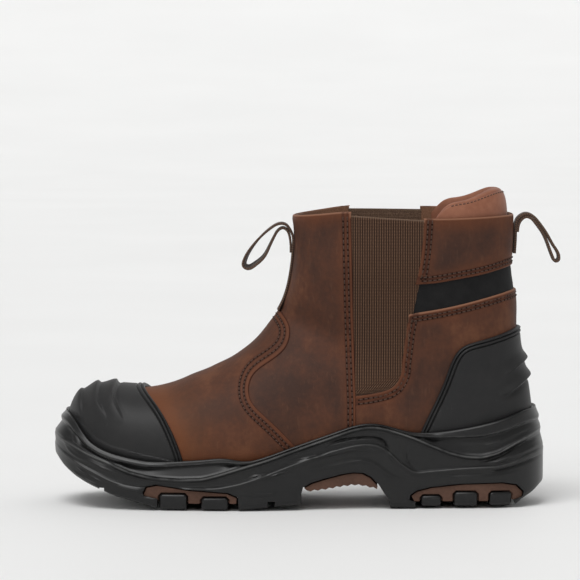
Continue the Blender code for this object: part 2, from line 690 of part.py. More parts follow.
# Tread blocks: extent along the foot, height, which side's edge they start from and how far they reach in
Lug = namedtuple("Lug", "name start end top edge reach")
LUGS = [
    Lug("forefoot_1", -94.6, -77.0, 9.0, 1, 27.0),
    Lug("forefoot_2", -68.0, -51.0, 7.4, 1, 27.0),
    Lug("heel_1", 71.0, 83.6, 7.6, 1, 22.0),
    Lug("heel_2", 91.6, 106.4, 9.8, 1, 23.0),
    Lug("heel_3", 114.4, 128.0, 9.6, 1, 22.0),
    Lug("forefoot_mid_1", -99.0, -84.0, 9.6, 0, 17.0),
    Lug("forefoot_mid_2", -78.0, -62.0, 8.0, 0, 18.0),
    Lug("forefoot_mid_3", -57.0, -47.0, 7.4, 0, 17.0),
    Lug("heel_mid_1", 78.0, 92.0, 8.0, 0, 12.0),
    Lug("heel_mid_2", 100.0, 114.0, 8.0, 0, 12.0),
]
LUG_ROUND = 1.6
POCKET_SIDE = 0.7
POCKET_TOP = 0.4


def lug_blocks(lug, grow_side, grow_top):
    """Boxes of a tread block, one on each edge of the sole or one in the middle."""
    middle = np.array([(lug.start + lug.end) / 2])
    centre, lateral, medial = (float(v[0]) for v in sole_plan(middle))
    if not lug.edge:
        spans = {"mid": (centre - lug.reach / 2, centre + lug.reach / 2)}
    else:
        spans = {
            "lateral": (-ACROSS, centre - lateral + lug.reach),
            "medial": (centre + medial - lug.reach, ACROSS),
        }
    for side, (low, high) in spans.items():
        yield side, block(
            (lug.start - grow_side, low - grow_side, -8),
            (lug.end + grow_side, high + grow_side, lug.top + grow_top),
            LUG_ROUND,
        )


def make_tread():
    """The brown plates in the windows, and the black blocks let into them."""
    for window in WINDOWS:
        roof = [(x, z) for x, z in window.roof if z > 0]
        top = [(x, z - GAP) for x, z in roof]
        inside = [(np.clip(x, top[0][0] + GAP, top[-1][0] - GAP), z) for x, z in top]
        plate = common(sole_body(PLATE_INSET), side_prism(inside + window.plate_under[::-1]))
        for lug in LUGS:
            if lug.name.startswith(window.name):
                cut(plate, *(box for _, box in lug_blocks(lug, POCKET_SIDE, POCKET_TOP)))
        plate.name = "tread_plate_" + window.name
        finish(plate, "tread")
    for lug in LUGS:
        for side, box in lug_blocks(lug, 0.0, 0.0):
            piece = common(sole_body(0.4), box)
            piece.name = "lug_" + lug.name if side == "mid" else f"lug_{lug.name}_{side}"
            finish(piece, "sole")


# Cup of the sole: how far its wall stands off the last along the foot, so that each layer clears it
CUP_X = [-73.0, -66.0, 14.0, 20.0, 36.0, 48.0]
CUP_FACE = [TOE_CAP_FACE, VAMP_FACE, VAMP_FACE, FRONT_FACE, FRONT_FACE, COUNTER_FACE]


def cup_face(clearance):
    return lambda points: np.interp(points[..., 0], CUP_X, CUP_FACE) + clearance


# Grooves that part the black legs of the sole into blocks, as the two corners of each
Groove = namedtuple("Groove", "low high")
GROOVES = [
    Groove((-25.6, -ACROSS, -8), (-21.2, ACROSS, 6.0)),
    Groove((-130.6, -ACROSS, -8), (-127.4, ACROSS, 14.6)),
    Groove((-150.0, -19.0, -8), (-100.0, -14.0, 11.0)),
    Groove((-150.0, 20.0, -8), (-100.0, 25.0, 11.0)),
    Groove((-46.0, -20.0, -8), (-2.0, -15.0, 5.0)),
    Groove((-46.0, 15.0, -8), (-2.0, 20.0, 5.0)),
    Groove((50.0, -2.5, -8), (66.0, 2.5, 5.0)),
]


def make_midsole():
    cup = common(form(cup_face(GAP)), side_prism(
        [(x, footbed(x) - GAP) for x in FOOT_X] + [(FOOT_X[-1], FAR), (FOOT_X[0], FAR)]))
    sole = sole_body(0.0)
    cut(sole, cup)
    cut(sole, *(side_prism(window.roof) for window in WINDOWS))
    cut(sole, *(block(groove.low, groove.high) for groove in GROOVES))
    sole.name = "midsole"
    finish(sole, "sole")


def make_insole():
    insole = common(form(cup_face(0.0)), below_footbed(INSOLE_RISE))
    cut(insole, below_footbed(0.0))
    insole.name = "insole"
    finish(insole, "insole")


def main():
    for old in list(bpy.data.objects):
        bpy.data.objects.remove(old)
    make_midsole()
    make_tread()
    make_insole()
    make_upper()
    make_gores()
    make_strip()
    make_guards()
    make_collar_pad()
    make_pull_loops()
    boot = bpy.data.objects.new("boot", None)
    bpy.context.scene.collection.objects.link(boot)
    for piece in list(bpy.data.objects):
        if piece is not boot:
            piece.parent = boot


main()
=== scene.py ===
"""Left pull-on safety boot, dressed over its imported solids.

Toe towards -X, heel towards +X, outer side of the foot towards -Y, floor at Z = 0.
Sizes are in millimetres, and made_mesh() turns them into Blender's metres.
"""

import json
import math
from collections import namedtuple

import bpy
import numpy as np
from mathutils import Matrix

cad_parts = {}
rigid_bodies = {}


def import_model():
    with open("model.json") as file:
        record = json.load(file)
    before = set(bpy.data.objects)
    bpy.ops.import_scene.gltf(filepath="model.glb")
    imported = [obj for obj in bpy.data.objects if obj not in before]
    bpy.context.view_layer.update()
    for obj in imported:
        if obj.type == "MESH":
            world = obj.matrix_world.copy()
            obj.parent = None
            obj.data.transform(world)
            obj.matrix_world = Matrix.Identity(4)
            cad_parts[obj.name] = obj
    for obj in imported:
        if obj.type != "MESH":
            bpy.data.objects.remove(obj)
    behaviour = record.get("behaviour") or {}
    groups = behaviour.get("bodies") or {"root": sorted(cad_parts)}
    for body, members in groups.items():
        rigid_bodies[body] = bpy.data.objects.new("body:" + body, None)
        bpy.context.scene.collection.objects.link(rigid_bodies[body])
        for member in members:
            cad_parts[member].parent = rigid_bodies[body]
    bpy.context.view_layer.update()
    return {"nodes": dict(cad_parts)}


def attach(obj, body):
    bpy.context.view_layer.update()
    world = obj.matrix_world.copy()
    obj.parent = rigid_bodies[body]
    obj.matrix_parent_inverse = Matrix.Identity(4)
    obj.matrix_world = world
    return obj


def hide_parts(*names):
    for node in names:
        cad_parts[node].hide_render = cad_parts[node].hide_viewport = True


bpy.ops.object.select_all(action="SELECT")
bpy.ops.object.delete()
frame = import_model()
bpy.ops.object.select_all(action="DESELECT")

# Lining: a thin dark knit glued to the inside of the leather, seen down the shaft and round the collar.
# It is cut on the last, the solid foot that every panel of the upper is pulled over, so the last's lines
# and the cutting of a sheet from them stand here.
MM = 0.001
LAST_TOE = (-149.0, 46.0)
COLLAR_HEIGHT = 184.0
FORM_TOP = 204.0
PIVOT_X = -46.4
PIVOT_Z = 138.0
RIDGE = [
    LAST_TOE, (-148.4, 56.0), (-144.4, 64.8), (-134.0, 70.8), (-119.0, 71.6), (-104.0, 71.0), (-93.8, 72.4),
    (-81.0, 76.2), (-68.5, 81.6), (-55.9, 87.2), (-43.3, 94.2), (-32.6, 102.8), (-23.8, 113.8),
    (-16.2, 126.5), (-12.4, 138.0), (-10.6, 148.0), (-9.4, 160.0), (-9.6, 174.0),
    (-10.2, COLLAR_HEIGHT), (-10.4, FORM_TOP)]
KEEL = [
    LAST_TOE, (-147.6, 38.0), (-142.0, 31.6), (-129.0, 26.6), (-105.0, 22.2), (-70.0, 19.5), (-30.0, 20.0),
    (10.0, 24.0), (50.0, 29.5), (90.0, 31.5), (118.0, 32.5), (130.4, 36.0), (136.8, 44.0), (139.3, 56.0),
    (138.4, 68.0), (136.5, 80.0), (134.1, 92.0), (132.2, 104.0), (131.8, 116.0), (131.6, 130.0),
    (129.1, 145.0), (129.6, 165.0), (129.7, COLLAR_HEIGHT), (129.7, FORM_TOP)]
Section = namedtuple("Section", "station centre lateral medial widest top_square under_square")
SECTIONS = [
    Section(0.00, 6.0, 47.04, 43.12, 0.60, 2.2, 2.6),
    Section(0.30, 5.0, 47.04, 43.61, 0.66, 2.3, 3.0),
    Section(0.55, 4.0, 48.02, 44.59, 0.71, 2.2, 3.2),
    Section(0.80, 3.0, 50.47, 46.06, 0.73, 2.05, 3.4),
    Section(1.00, 2.5, 51.45, 45.57, 0.73, 1.95, 3.4),
    Section(1.25, 2.0, 47.53, 42.14, 0.71, 1.95, 3.4),
    Section(1.50, 1.0, 41.24, 37.96, 0.67, 2.0, 3.2),
    Section(1.67, 0.5, 36.5, 35.77, 0.61, 2.1, 3.0),
    Section(1.80, 0.0, 36.86, 36.5, 0.56, 2.2, 2.7),
    Section(2.00, 0.0, 40.92, 40.92, 0.50, 2.3, 2.5),
    Section(2.50, 0.0, 43.56, 43.56, 0.50, 2.35, 2.4),
    Section(3.00, 0.0, 44.0, 44.0, 0.50, 2.4, 2.4),
]
TOE_ROUND_STATION = 0.55
TOE_ROUND_POWER = 2.3


def spline(knots, values):
    """A natural cubic through the values, constant beyond its end knots."""
    knots = np.asarray(knots, float)
    values = np.asarray(values, float).reshape(len(knots), -1)
    steps = np.diff(knots)
    slopes = np.diff(values, axis=0) / steps[:, None]
    system = np.eye(len(knots))
    bend = np.zeros_like(values)
    for i in range(1, len(steps)):
        system[i, i - 1:i + 2] = steps[i - 1], 2 * (steps[i - 1] + steps[i]), steps[i]
        bend[i] = 6 * (slopes[i] - slopes[i - 1])
    bend = np.linalg.solve(system, bend)

    def at(where):
        where = np.clip(np.atleast_1d(np.asarray(where, float)), knots[0], knots[-1])
        i = np.clip(np.searchsorted(knots, where) - 1, 0, len(steps) - 1)
        h = steps[i][:, None]
        b = (where[:, None] - knots[i][:, None]) / h
        a = 1 - b
        arch = (a**3 - a) * bend[i] + (b**3 - b) * bend[i + 1]
        return a * values[i] + b * values[i + 1] + arch * h * h / 6

    return at


def run_along(points):
    """How far along a path each of its points lies."""
    return np.concatenate([[0], np.cumsum(np.linalg.norm(np.diff(points, axis=0), axis=1))])


def curve_through(points, count):
    """count points along the smooth curve through the given ones."""
    points = np.asarray(points, float)
    along = run_along(points)
    return spline(along, points)(np.linspace(0, along[-1], count))


def station_of(x, z):
    """Which cross section a side-view point lies on: upright, fanned about the pivot, then level."""
    forefoot = (x - LAST_TOE[0]) / (PIVOT_X - LAST_TOE[0])
    ankle = 1 + np.arctan2(x - PIVOT_X, PIVOT_Z - z) / (math.pi / 2)
    shaft = 2 + (z - PIVOT_Z) / (FORM_TOP - PIVOT_Z)
    return np.where(x < PIVOT_X, forefoot, np.where(z > PIVOT_Z, shaft, ankle))


def line_by_station(points):
    line = curve_through(points, 900)
    stations = np.maximum.accumulate(station_of(line[:, 0], line[:, 1]))
    return lambda s: np.stack([np.interp(s, stations, line[:, k]) for k in (0, 1)], axis=-1)


ridge_at = line_by_station(RIDGE)
keel_at = line_by_station(KEEL)
section_at = spline([s.station for s in SECTIONS], SECTIONS)


def on_last(station, angle):
    """Points of the last: angle 0 is its top line, then the inner side, and pi its under line."""
    ridge, keel = ridge_at(station), keel_at(station)
    _, centre, lateral, medial, widest, top_square, under_square = section_at(station).T
    top = np.cos(angle) > 0
    power = 2 / np.where(top, top_square, under_square)
    down = np.abs(np.cos(angle)) ** power
    out = np.abs(np.sin(angle)) ** power * np.sign(np.sin(angle))
    depth = np.where(top, widest * (1 - down), widest + (1 - widest) * down)
    tip = np.clip(1 - station / TOE_ROUND_STATION, 0, 1)
    rounding = (1 - tip**TOE_ROUND_POWER) ** (1 / TOE_ROUND_POWER)
    side = ridge + (keel - ridge) * depth[:, None]
    y = centre + rounding * out * np.where(out > 0, medial, lateral)
    return np.column_stack([side[:, 0], y, side[:, 1]])


def facing(station, angle, reach=0.004, turn=0.02):
    """Outward unit normals of the last."""
    along = on_last(np.minimum(station + reach, 3), angle) - on_last(np.maximum(station - reach, 0), angle)
    around = on_last(station, angle + turn) - on_last(station, angle - turn)
    out = np.cross(along, around)
    length = np.linalg.norm(out, axis=1, keepdims=True)
    return np.where(length > 1e-6, out / np.maximum(length, 1e-6), (-1.0, 0.0, 0.0))


def spot_of(x, z, side):
    """Station and angle of a side-view point, on the inner (1) or outer (-1) side of the foot."""
    station = station_of(x, z)
    ridge, keel = ridge_at(station), keel_at(station)
    _, _, _, _, widest, top_square, under_square = section_at(station).T
    run = keel - ridge
    depth = np.sum((np.stack([x, z], axis=-1) - ridge) * run, axis=1) / np.sum(run * run, axis=1)
    depth = np.clip(depth, 0, 1)
    top = depth < widest
    down = np.where(top, 1 - depth / widest, (depth - widest) / (1 - widest))
    cosine = np.clip(down, 0, 1) ** (np.where(top, top_square, under_square) / 2)
    return station, side * np.arccos(np.where(top, cosine, -cosine))


# Mean lengths run over the last, by station and by angle, from which a sheet takes even steps
EVERY_STATION = np.linspace(0, 3, 9001)
STATION_RUN = np.zeros(len(EVERY_STATION))
for turn in np.arange(8) * math.pi / 4:
    path = on_last(EVERY_STATION, np.full(len(EVERY_STATION), turn))
    STATION_RUN += run_along(path) / 8
EVERY_ANGLE = np.linspace(-math.pi, 2 * math.pi, 3001)
ANGLE_RUN = np.zeros(len(EVERY_ANGLE))
for station in (0.6, 1.1, 1.6, 2.3):
    path = on_last(np.full(len(EVERY_ANGLE), station), EVERY_ANGLE)
    ANGLE_RUN += run_along(path) / 4


def even_steps(run, values, low, high, step):
    ends = np.interp([low, high], values, run)
    return np.interp(np.linspace(*ends, int((ends[1] - ends[0]) / step) + 2), run, values)


class Line:
    """A cutting line in side view. gap() is the distance from it, above 0 on the side that is kept:
    1 keeps what lies to the left of the way it is drawn, -1 what lies to the right. inner_rise lifts the
    line behind the ankle on the inner side of the foot."""

    def __init__(self, points, keep, smooth=0, inner_rise=0.0):
        self.inner_rise = inner_rise
        self.points = curve_through(points, smooth) if smooth else np.asarray(points, float)
        self.keep = keep
        steps = np.diff(self.points, axis=0)
        self.lengths = np.linalg.norm(steps, axis=1, keepdims=True)
        self.steps = steps / self.lengths
        heading = np.vstack([self.steps[:1], self.steps[:-1] + self.steps[1:], self.steps[-1:]])
        self.heading = heading / np.linalg.norm(heading, axis=1, keepdims=True)

    def nearest(self, x, z):
        """For each point: its distance with sign, and how far along the line its nearest point is."""
        away = np.stack([x, z], axis=-1)[:, None, :] - self.points[None, :-1]
        share = np.clip(np.sum(away * self.steps, axis=2) / self.lengths[:, 0], 0, 1)
        off = away - share[..., None] * (self.steps * self.lengths)
        squared = np.sum(off * off, axis=2)
        best = np.argmin(squared, axis=1)
        rows = np.arange(len(best))
        part = share[rows, best][:, None]
        heading = self.heading[best] * (1 - part) + self.heading[best + 1] * part
        off = off[rows, best]
        left = heading[:, 0] * off[:, 1] - heading[:, 1] * off[:, 0]
        run = np.concatenate([[0], np.cumsum(self.lengths)])
        along = (run[best] + part[:, 0] * self.lengths[best, 0]) / run[-1]
        return np.sqrt(squared[rows, best]) * np.where(left < 0, -1, 1) * self.keep, along

    def gap(self, x, z):
        return self.nearest(x, z)[0]

    def beside(self, distance):
        """The line moved by a distance into the side that is kept."""
        left = np.stack([-self.heading[:, 1], self.heading[:, 0]], axis=1)
        return self.points + left * self.keep * distance


def quads(rows, columns):
    """Faces between the points of a grid that is numbered row by row."""
    first = (np.arange(rows - 1)[:, None] * columns + np.arange(columns - 1)[None]).ravel()
    return np.column_stack([first, first + columns, first + columns + 1, first + 1])


# Where the collar rises on the inner side: its middle, its reach along the foot and the width it grows over
RISE_X = 80.0
RISE_REACH = 38.0
RISE_Y = 30.0


class Sheet:
    """A piece of the last's surface by station and angle, cut to lines that are drawn in side view."""

    def __init__(self, stations, angles, step):
        rows = even_steps(STATION_RUN, EVERY_STATION, *stations, step)
        columns = even_steps(ANGLE_RUN, EVERY_ANGLE, *angles, step)
        self.spots = np.column_stack([np.repeat(rows, len(columns)), np.tile(columns, len(rows))])
        self.faces = quads(len(rows), len(columns)).tolist()

    def gap(self, line):
        x, y, z = on_last(*self.spots.T).T
        inner = np.clip(y / RISE_Y, 0, 1) * np.exp(-(((x - RISE_X) / RISE_REACH) ** 2))
        return line.gap(x, z - line.inner_rise * inner)

    def split(self, line, level=0.0, drop=False):
        """Divides the faces along the curve at that distance from the line, and drops what is beyond it."""
        value = self.gap(line) - level
        value[np.abs(value) < 1e-4] = 0
        value = value.tolist()
        spots, made, faces = [], {}, []
        for face in self.faces:
            heights = [value[i] for i in face]
            if min(heights) >= 0:
                faces.append(face)
                continue
            if max(heights) <= 0:
                if not drop:
                    faces.append(face)
                continue
            above, below = [], []
            for i, j in zip(face, face[1:] + face[:1]):
                if value[i] >= 0:
                    above.append(i)
                if value[i] <= 0:
                    below.append(i)
                if value[i] * value[j] < 0:
                    key = (min(i, j), max(i, j))
                    if key not in made:
                        made[key] = len(self.spots) + len(spots)
                        share = value[i] / (value[i] - value[j])
                        spots.append(self.spots[i] * (1 - share) + self.spots[j] * share)
                    above.append(made[key])
                    below.append(made[key])
            faces.append(above)
            if not drop:
                faces.append(below)
        self.spots = np.vstack([self.spots, *spots])
        used = np.unique(np.concatenate([np.asarray(face) for face in faces]))
        place = np.zeros(len(self.spots), int)
        place[used] = np.arange(len(used))
        self.spots = self.spots[used]
        self.faces = [place[face].tolist() for face in faces]
        return self

    def trim(self, line, level=0.0):
        return self.split(line, level, drop=True)

    def scored(self, levels, *lines):
        """Divides the faces at several distances from each line, so that an edge can be shaped there."""
        for level in levels:
            for line in lines:
                self.split(line, level)

    def keep(self, value, level):
        """Leaves out the faces on which the value of every point is at most the level."""
        self.faces = [face for face in self.faces if max(value[face]) > level]

    def points(self, height=0.0):
        lift = np.broadcast_to(height, len(self.spots))[:, None]
        return on_last(*self.spots.T) + facing(*self.spots.T) * lift


def mark(mesh, name, values):
    """Gives each point of a mesh a number, for its material."""
    mesh.attributes.new(name, "FLOAT", "POINT").data.foreach_set("value", np.asarray(values, np.float32))


def made_mesh(name, points, faces, **attributes):
    """A new object from points in millimetres, with a number for each point under each attribute's name."""
    mesh = bpy.data.meshes.new(name)
    mesh.from_pydata((np.asarray(points) * MM).tolist(), [], faces)
    for key, values in attributes.items():
        mark(mesh, key, values)
    piece = bpy.data.objects.new(name, mesh)
    bpy.context.scene.collection.objects.link(piece)
    return piece


def pick(piece):
    bpy.ops.object.select_all(action="DESELECT")
    piece.select_set(True)
    bpy.context.view_layer.objects.active = piece


def apply(piece, kind, **settings):
    """Adds a modifier with its settings and applies it."""
    pick(piece)
    modifier = piece.modifiers.new(kind, kind)
    for key, value in settings.items():
        setattr(modifier, key, value)
    bpy.ops.object.modifier_apply(modifier=modifier.name)
    return piece


def weld(piece, within=1e-6, turn_out=False):
    """Merges the points that lie together, as at a pole or a seam, and may turn the faces outwards."""
    pick(piece)
    bpy.ops.object.mode_set(mode="EDIT")
    bpy.ops.mesh.select_all(action="SELECT")
    bpy.ops.mesh.remove_doubles(threshold=within)
    if turn_out:
        bpy.ops.mesh.normals_make_consistent(inside=False)
    bpy.ops.object.mode_set(mode="OBJECT")
    return piece


def solid(name, points, faces):
    """A closed form with its faces turned outwards."""
    return weld(made_mesh(name, points, faces), 1e-7, turn_out=True)


def smooth(piece, degrees=40):
    pick(piece)
    bpy.ops.object.shade_smooth_by_angle(angle=math.radians(degrees))
    return piece


def wall(piece, thickness, inward=True):
    """Closes a welded sheet into a thin wall behind or in front of its face."""
    weld(piece)
    apply(piece, "SOLIDIFY", thickness=thickness * MM, offset=-1 if inward else 1)
    return smooth(piece)


def fit(piece, material, slot, *nodes):
    """Gives a piece its material, and its place in the frame."""
    piece.data.materials.clear()
    piece.data.materials.append(material)
    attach(piece, "root")
    if nodes:
        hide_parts(*nodes)
    return piece


class Shade:
    """A socket of a material: sums on it are written as Python sums, and node() makes any other node."""

    def __init__(self, tree, socket=None):
        self.tree = tree
        self.socket = socket

    def node(self, kind, settings, inputs, out=0):
        made = self.tree.nodes.new(kind)
        for key, value in settings.items():
            if key == "stops":
                while len(made.color_ramp.elements) < len(value):
                    made.color_ramp.elements.new(1.0)
                for element, (position, colour) in zip(made.color_ramp.elements, value):
                    element.position = position
                    element.color = (*colour, 1)
            else:
                setattr(made, key, value)
        for key, value in inputs.items():
            if isinstance(value, Shade):
                self.tree.links.new(value.socket, made.inputs[key])
            else:
                made.inputs[key].default_value = value
        return Shade(self.tree, made.outputs[out])

    def sums(self, operation, first, second):
        return self.node("ShaderNodeMath", {"operation": operation}, {0: first, 1: second})

    def __add__(self, other):
        return self.sums("ADD", self, other)

    def __radd__(self, other):
        return self.sums("ADD", other, self)

    def __sub__(self, other):
        return self.sums("SUBTRACT", self, other)

    def __rsub__(self, other):
        return self.sums("SUBTRACT", other, self)

    def __mul__(self, other):
        return self.sums("MULTIPLY", self, other)

    def __rmul__(self, other):
        return self.sums("MULTIPLY", other, self)

    def noise(self, scale, detail=3.0, rough=0.5):
        """A noise over this place, from 0 to 1, with scale bumps to a metre."""
        return self.node("ShaderNodeTexNoise", {}, {
            "Vector": self, "Scale": scale, "Detail": detail, "Roughness": rough})

    def stretched(self, x, y, z):
        return self.node("ShaderNodeMapping", {}, {"Vector": self, "Scale": (x, y, z)})

    def ramp(self, *stops):
        return self.node("ShaderNodeValToRGB", {"stops": stops}, {"Fac": self})

    def fade(self, low, high):
        """0 up to low and 1 from high, smooth in between."""
        return self.node("ShaderNodeMapRange", {"interpolation_type": "SMOOTHSTEP"}, {
            "Value": self, "From Min": low, "From Max": high})

    def tint(self, share, colour):
        """This colour, with a share of another laid over it."""
        return self.node("ShaderNodeMix", {"data_type": "RGBA"}, {
            0: share, 6: self, 7: colour if isinstance(colour, Shade) else (*colour, 1)}, 2)

    def bump(self, strength, depth):
        return self.node("ShaderNodeBump", {}, {"Height": self, "Strength": strength, "Distance": depth * MM})

    def attribute(self, name):
        return self.node("ShaderNodeAttribute", {"attribute_name": name}, {}, "Fac")


def shader_socket(material, key):
    name = key.replace("_", " ").title().replace("Ior", "IOR")
    return material.node_tree.nodes["Principled BSDF"].inputs[name]


def new_material(name, **fixed):
    """A material with its fixed values set on the shader, and the place in the object as a Shade."""
    material = bpy.data.materials.new(name)
    material.use_nodes = True
    for key, value in fixed.items():
        shader_socket(material, key).default_value = value
    return material, Shade(material.node_tree).node("ShaderNodeTexCoord", {}, {}, "Object")


def paint(material, **shades):
    """Leads what varies over the surface to the shader's sockets."""
    for key, shade in shades.items():
        material.node_tree.links.new(shade.socket, shader_socket(material, key))
    return material


LINING_FACE = -2.9
LINING_WALL = 0.8
FEATHER_RISE = 4.5
FOOT_X = np.linspace(-166, 154, 65)
UNDER_LINE = keel_at(np.linspace(0, 1.67, 400))


def footbed(x):
    """Height of the last's under line along the foot, level past its ends."""
    return np.interp(np.clip(x, -140.0, 130.0), UNDER_LINE[:, 0], UNDER_LINE[:, 1])


FEATHER = Line([(x, footbed(x) + FEATHER_RISE) for x in FOOT_X], 1)
COLLAR_EDGE = Line(
    [(-40.0, 180.0), (-9.0, 181.9), (10.0, 183.9), (25.0, 185.2), (45.0, 183.6), (72.0, 181.2),
     (100.0, 181.3), (128.0, 182.4), (150.0, 183.4)], -1, 60, inner_rise=4.2)
GORE_EDGE = Line(np.vstack([
    curve_through([(24.0, 70.2), (29.0, 70.7), (44.0, 72.9), (52.3, 76.1), (56.4, 81.5), (57.9, 91.0)], 20),
    curve_through([(58.8, 98.0), (60.4, 111.0), (62.0, 120.3), (66.0, 140.2), (67.9, 147.7), (71.4, 181.4),
                   (73.2, 200.0)], 20),
]), -1)
FRONT_EDGE = Line([(29.4, -30.0), (29.4, 67.5), (27.6, 120.0), (26.0, 185.4), (25.6, 200.0)], 1)
LINING_LAP = 1.2

lining = Sheet((0.0, 2.76), (0.0, 2 * math.pi), 2.6)
lining.trim(FEATHER, -2.5).trim(COLLAR_EDGE, 0.6)
lining.split(GORE_EDGE, LINING_LAP).split(FRONT_EDGE, LINING_LAP)
past_window = np.maximum(lining.gap(GORE_EDGE), lining.gap(FRONT_EDGE)) - LINING_LAP
lining.faces = [face for face in lining.faces if np.mean(past_window[face]) > 0]
piece = made_mesh("lining", lining.points(LINING_FACE), lining.faces)
wall(piece, LINING_WALL, inward=False)
knit, place = new_material("brown_knit", specular_ior_level=0.15, sheen_weight=0.2)
thread = place.stretched(1, 1, 0.5).noise(1900, 2)
height = place.node("ShaderNodeSeparateXYZ", {}, {"Vector": place}, "Z").fade(0.140, 0.172)
dark = thread.ramp((0.35, (0.014, 0.009, 0.006)), (0.7, (0.045, 0.030, 0.022)))
paint(
    knit,
    base_color=dark.tint(height, thread.ramp((0.35, (0.170, 0.080, 0.045)), (0.7, (0.250, 0.130, 0.078)))),
    roughness=0.8 + 0.15 * thread,
    normal=thread.bump(0.5, 0.5),
)
fit(piece, knit, "leather", "upper")

# Shaft front: one piece of oiled nubuck wrapped round the shin, with its back edges sewn down over the
# elastic and over the quarters. The top is turned over and glued, and shows a pale folded edge.
FRONT_FACE = 0.0
VAMP_EDGE = Line(
    [(-30.0, 136.0), (-19.0, 122.5), (-12.0, 112.0), (-13.0, 102.5), (-25.0, 90.5), (-36.0, 80.5),
     (-36.5, 69.0), (-28.0, 59.0), (-8.6, 39.8), (10.0, 18.0)], -1, 70)
HIDE_WALL = 0.9
UNDER_LAP = 8.0
FRONT_ROWS = (2.3, 4.9)
EDGE_CUTS = (0.15, 0.4, 0.8, 1.3)
PALE_EDGE = 3.0


def rolled(gap, radius, drop):
    """How far a panel's edge turns down to what it lies on, by the distance from its edge."""
    share = np.clip(1 - gap / radius, 0, 1)
    return -drop * (1 - np.sqrt(1 - share**2))


def sewn(gap, rows, depth=0.25, width=0.75):
    """The troughs that rows of thread pull into the leather."""
    return -depth * sum(np.exp(-((gap - row) / width) ** 2) for row in rows)


def swell(gap, middle, width, height):
    return height * np.exp(-((gap - middle) / width) ** 2)


# Creases and hollows of the broken-in leather: where each one starts and ends in side view, its
# half width and its depth
Crease = namedtuple("Crease", "start end width depth")
CREASES = [
    Crease((-17.0, 120.0), (16.0, 106.0), 7.0, -0.55),
    Crease((-14.0, 129.0), (14.0, 120.0), 6.0, 0.35),
    Crease((-13.0, 99.0), (18.0, 92.0), 6.5, -0.45),
    Crease((2.0, 172.0), (6.0, 140.0), 9.0, -0.35),
    Crease((-2.0, 60.0), (20.0, 72.0), 7.0, -0.35),
    Crease((-62.0, 79.0), (-48.0, 52.0), 7.0, -0.45),
    Crease((-72.0, 76.0), (-64.0, 50.0), 6.0, 0.30),
    Crease((-48.0, 90.0), (-40.0, 66.0), 6.0, -0.30),
    Crease((66.0, 108.0), (84.0, 88.0), 6.0, -0.45),
    Crease((76.0, 116.0), (98.0, 104.0), 6.0, 0.30),
    Crease((52.0, 60.0), (66.0, 78.0), 7.0, -0.40),
    Crease((88.0, 172.0), (110.0, 162.0), 7.0, -0.35),
    Crease((78.0, 160.0), (96.0, 152.0), 6.0, 0.25),
]


def creased(points):
    """Height of the creases at points of a panel."""
    height = np.zeros(len(points))
    for crease in CREASES:
        start, run = np.asarray(crease.start), np.subtract(crease.end, crease.start)
        away = points[:, [0, 2]] - start
        share = away @ run / (run @ run)
        off = np.linalg.norm(away - np.clip(share, 0, 1)[:, None] * run, axis=1)
        height += crease.depth * np.exp(-((off / crease.width) ** 2))
    return height


def edged(sheet, *lines):
    """The least distance from the panel's visible edges, for its colour."""
    return np.min([sheet.gap(line) for line in lines], axis=0)


def warmed(sheet):
    """How far the leather turns orange with rubbing: just above the sole."""
    return 0.45 * np.exp(-np.clip(sheet.gap(FEATHER) - 4.0, 0, None) / 9.0)


def seamed(*gaps_and_rows):
    """The least distance from a row of stitches, for its colour."""
    return np.min([np.abs(gap - row) for gap, rows in gaps_and_rows for row in rows], axis=0)


nubuck, place = new_material("oiled_nubuck", specular_ior_level=0.16, sheen_weight=0.02, sheen_roughness=0.4)
cloud = place.noise(17, 3) * 0.48 + place.stretched(1, 1, 0.6).noise(70, 4) * 0.35
cloud = cloud + place.noise(330, 5) * 0.17
streak = place.stretched(1, 1, 0.2).noise(520, 4).fade(0.56, 0.74)
edge, seam, pale = place.attribute("edge"), place.attribute("seam"), place.attribute("pale")
hide = cloud.ramp(
    (0.39, (0.045, 0.021, 0.0145)), (0.47, (0.062, 0.0262, 0.0162)), (0.54, (0.082, 0.0315, 0.0175)),
    (0.62, (0.114, 0.0455, 0.0235)))
hide = hide.tint(place.attribute("warm") * 0.66, (0.185, 0.066, 0.023))
hide = hide.tint((1 - edge.fade(0.0, 13.0)) * 0.55, (0.135, 0.042, 0.016))
hide = hide.tint(streak * 0.13, (0.170, 0.080, 0.042))
hide = hide.tint((1 - edge.fade(0.0, 0.7)) * (1 - pale) * 0.8, (0.030, 0.009, 0.006))
hide = hide.tint((1 - edge.fade(0.3, 1.3)) * pale * 0.75, (0.26, 0.125, 0.075))
hide = hide.tint((1 - seam.fade(0.3, 1.6)) * 0.60, (0.034, 0.010, 0.006))
grain = place.noise(1500, 5, 0.6)
paint(
    nubuck, base_color=hide, roughness=0.48 + 0.22 * cloud + 0.08 * grain,
    normal=(grain + place.noise(380, 2) * 0.8).bump(0.28, 0.35))


def hide_panel(name, sheet, height, **attributes):
    """A panel of nubuck at its height over the last."""
    piece = made_mesh(name, sheet.points(height), sheet.faces, **attributes)
    return fit(wall(piece, HIDE_WALL), nubuck, "leather", "upper")


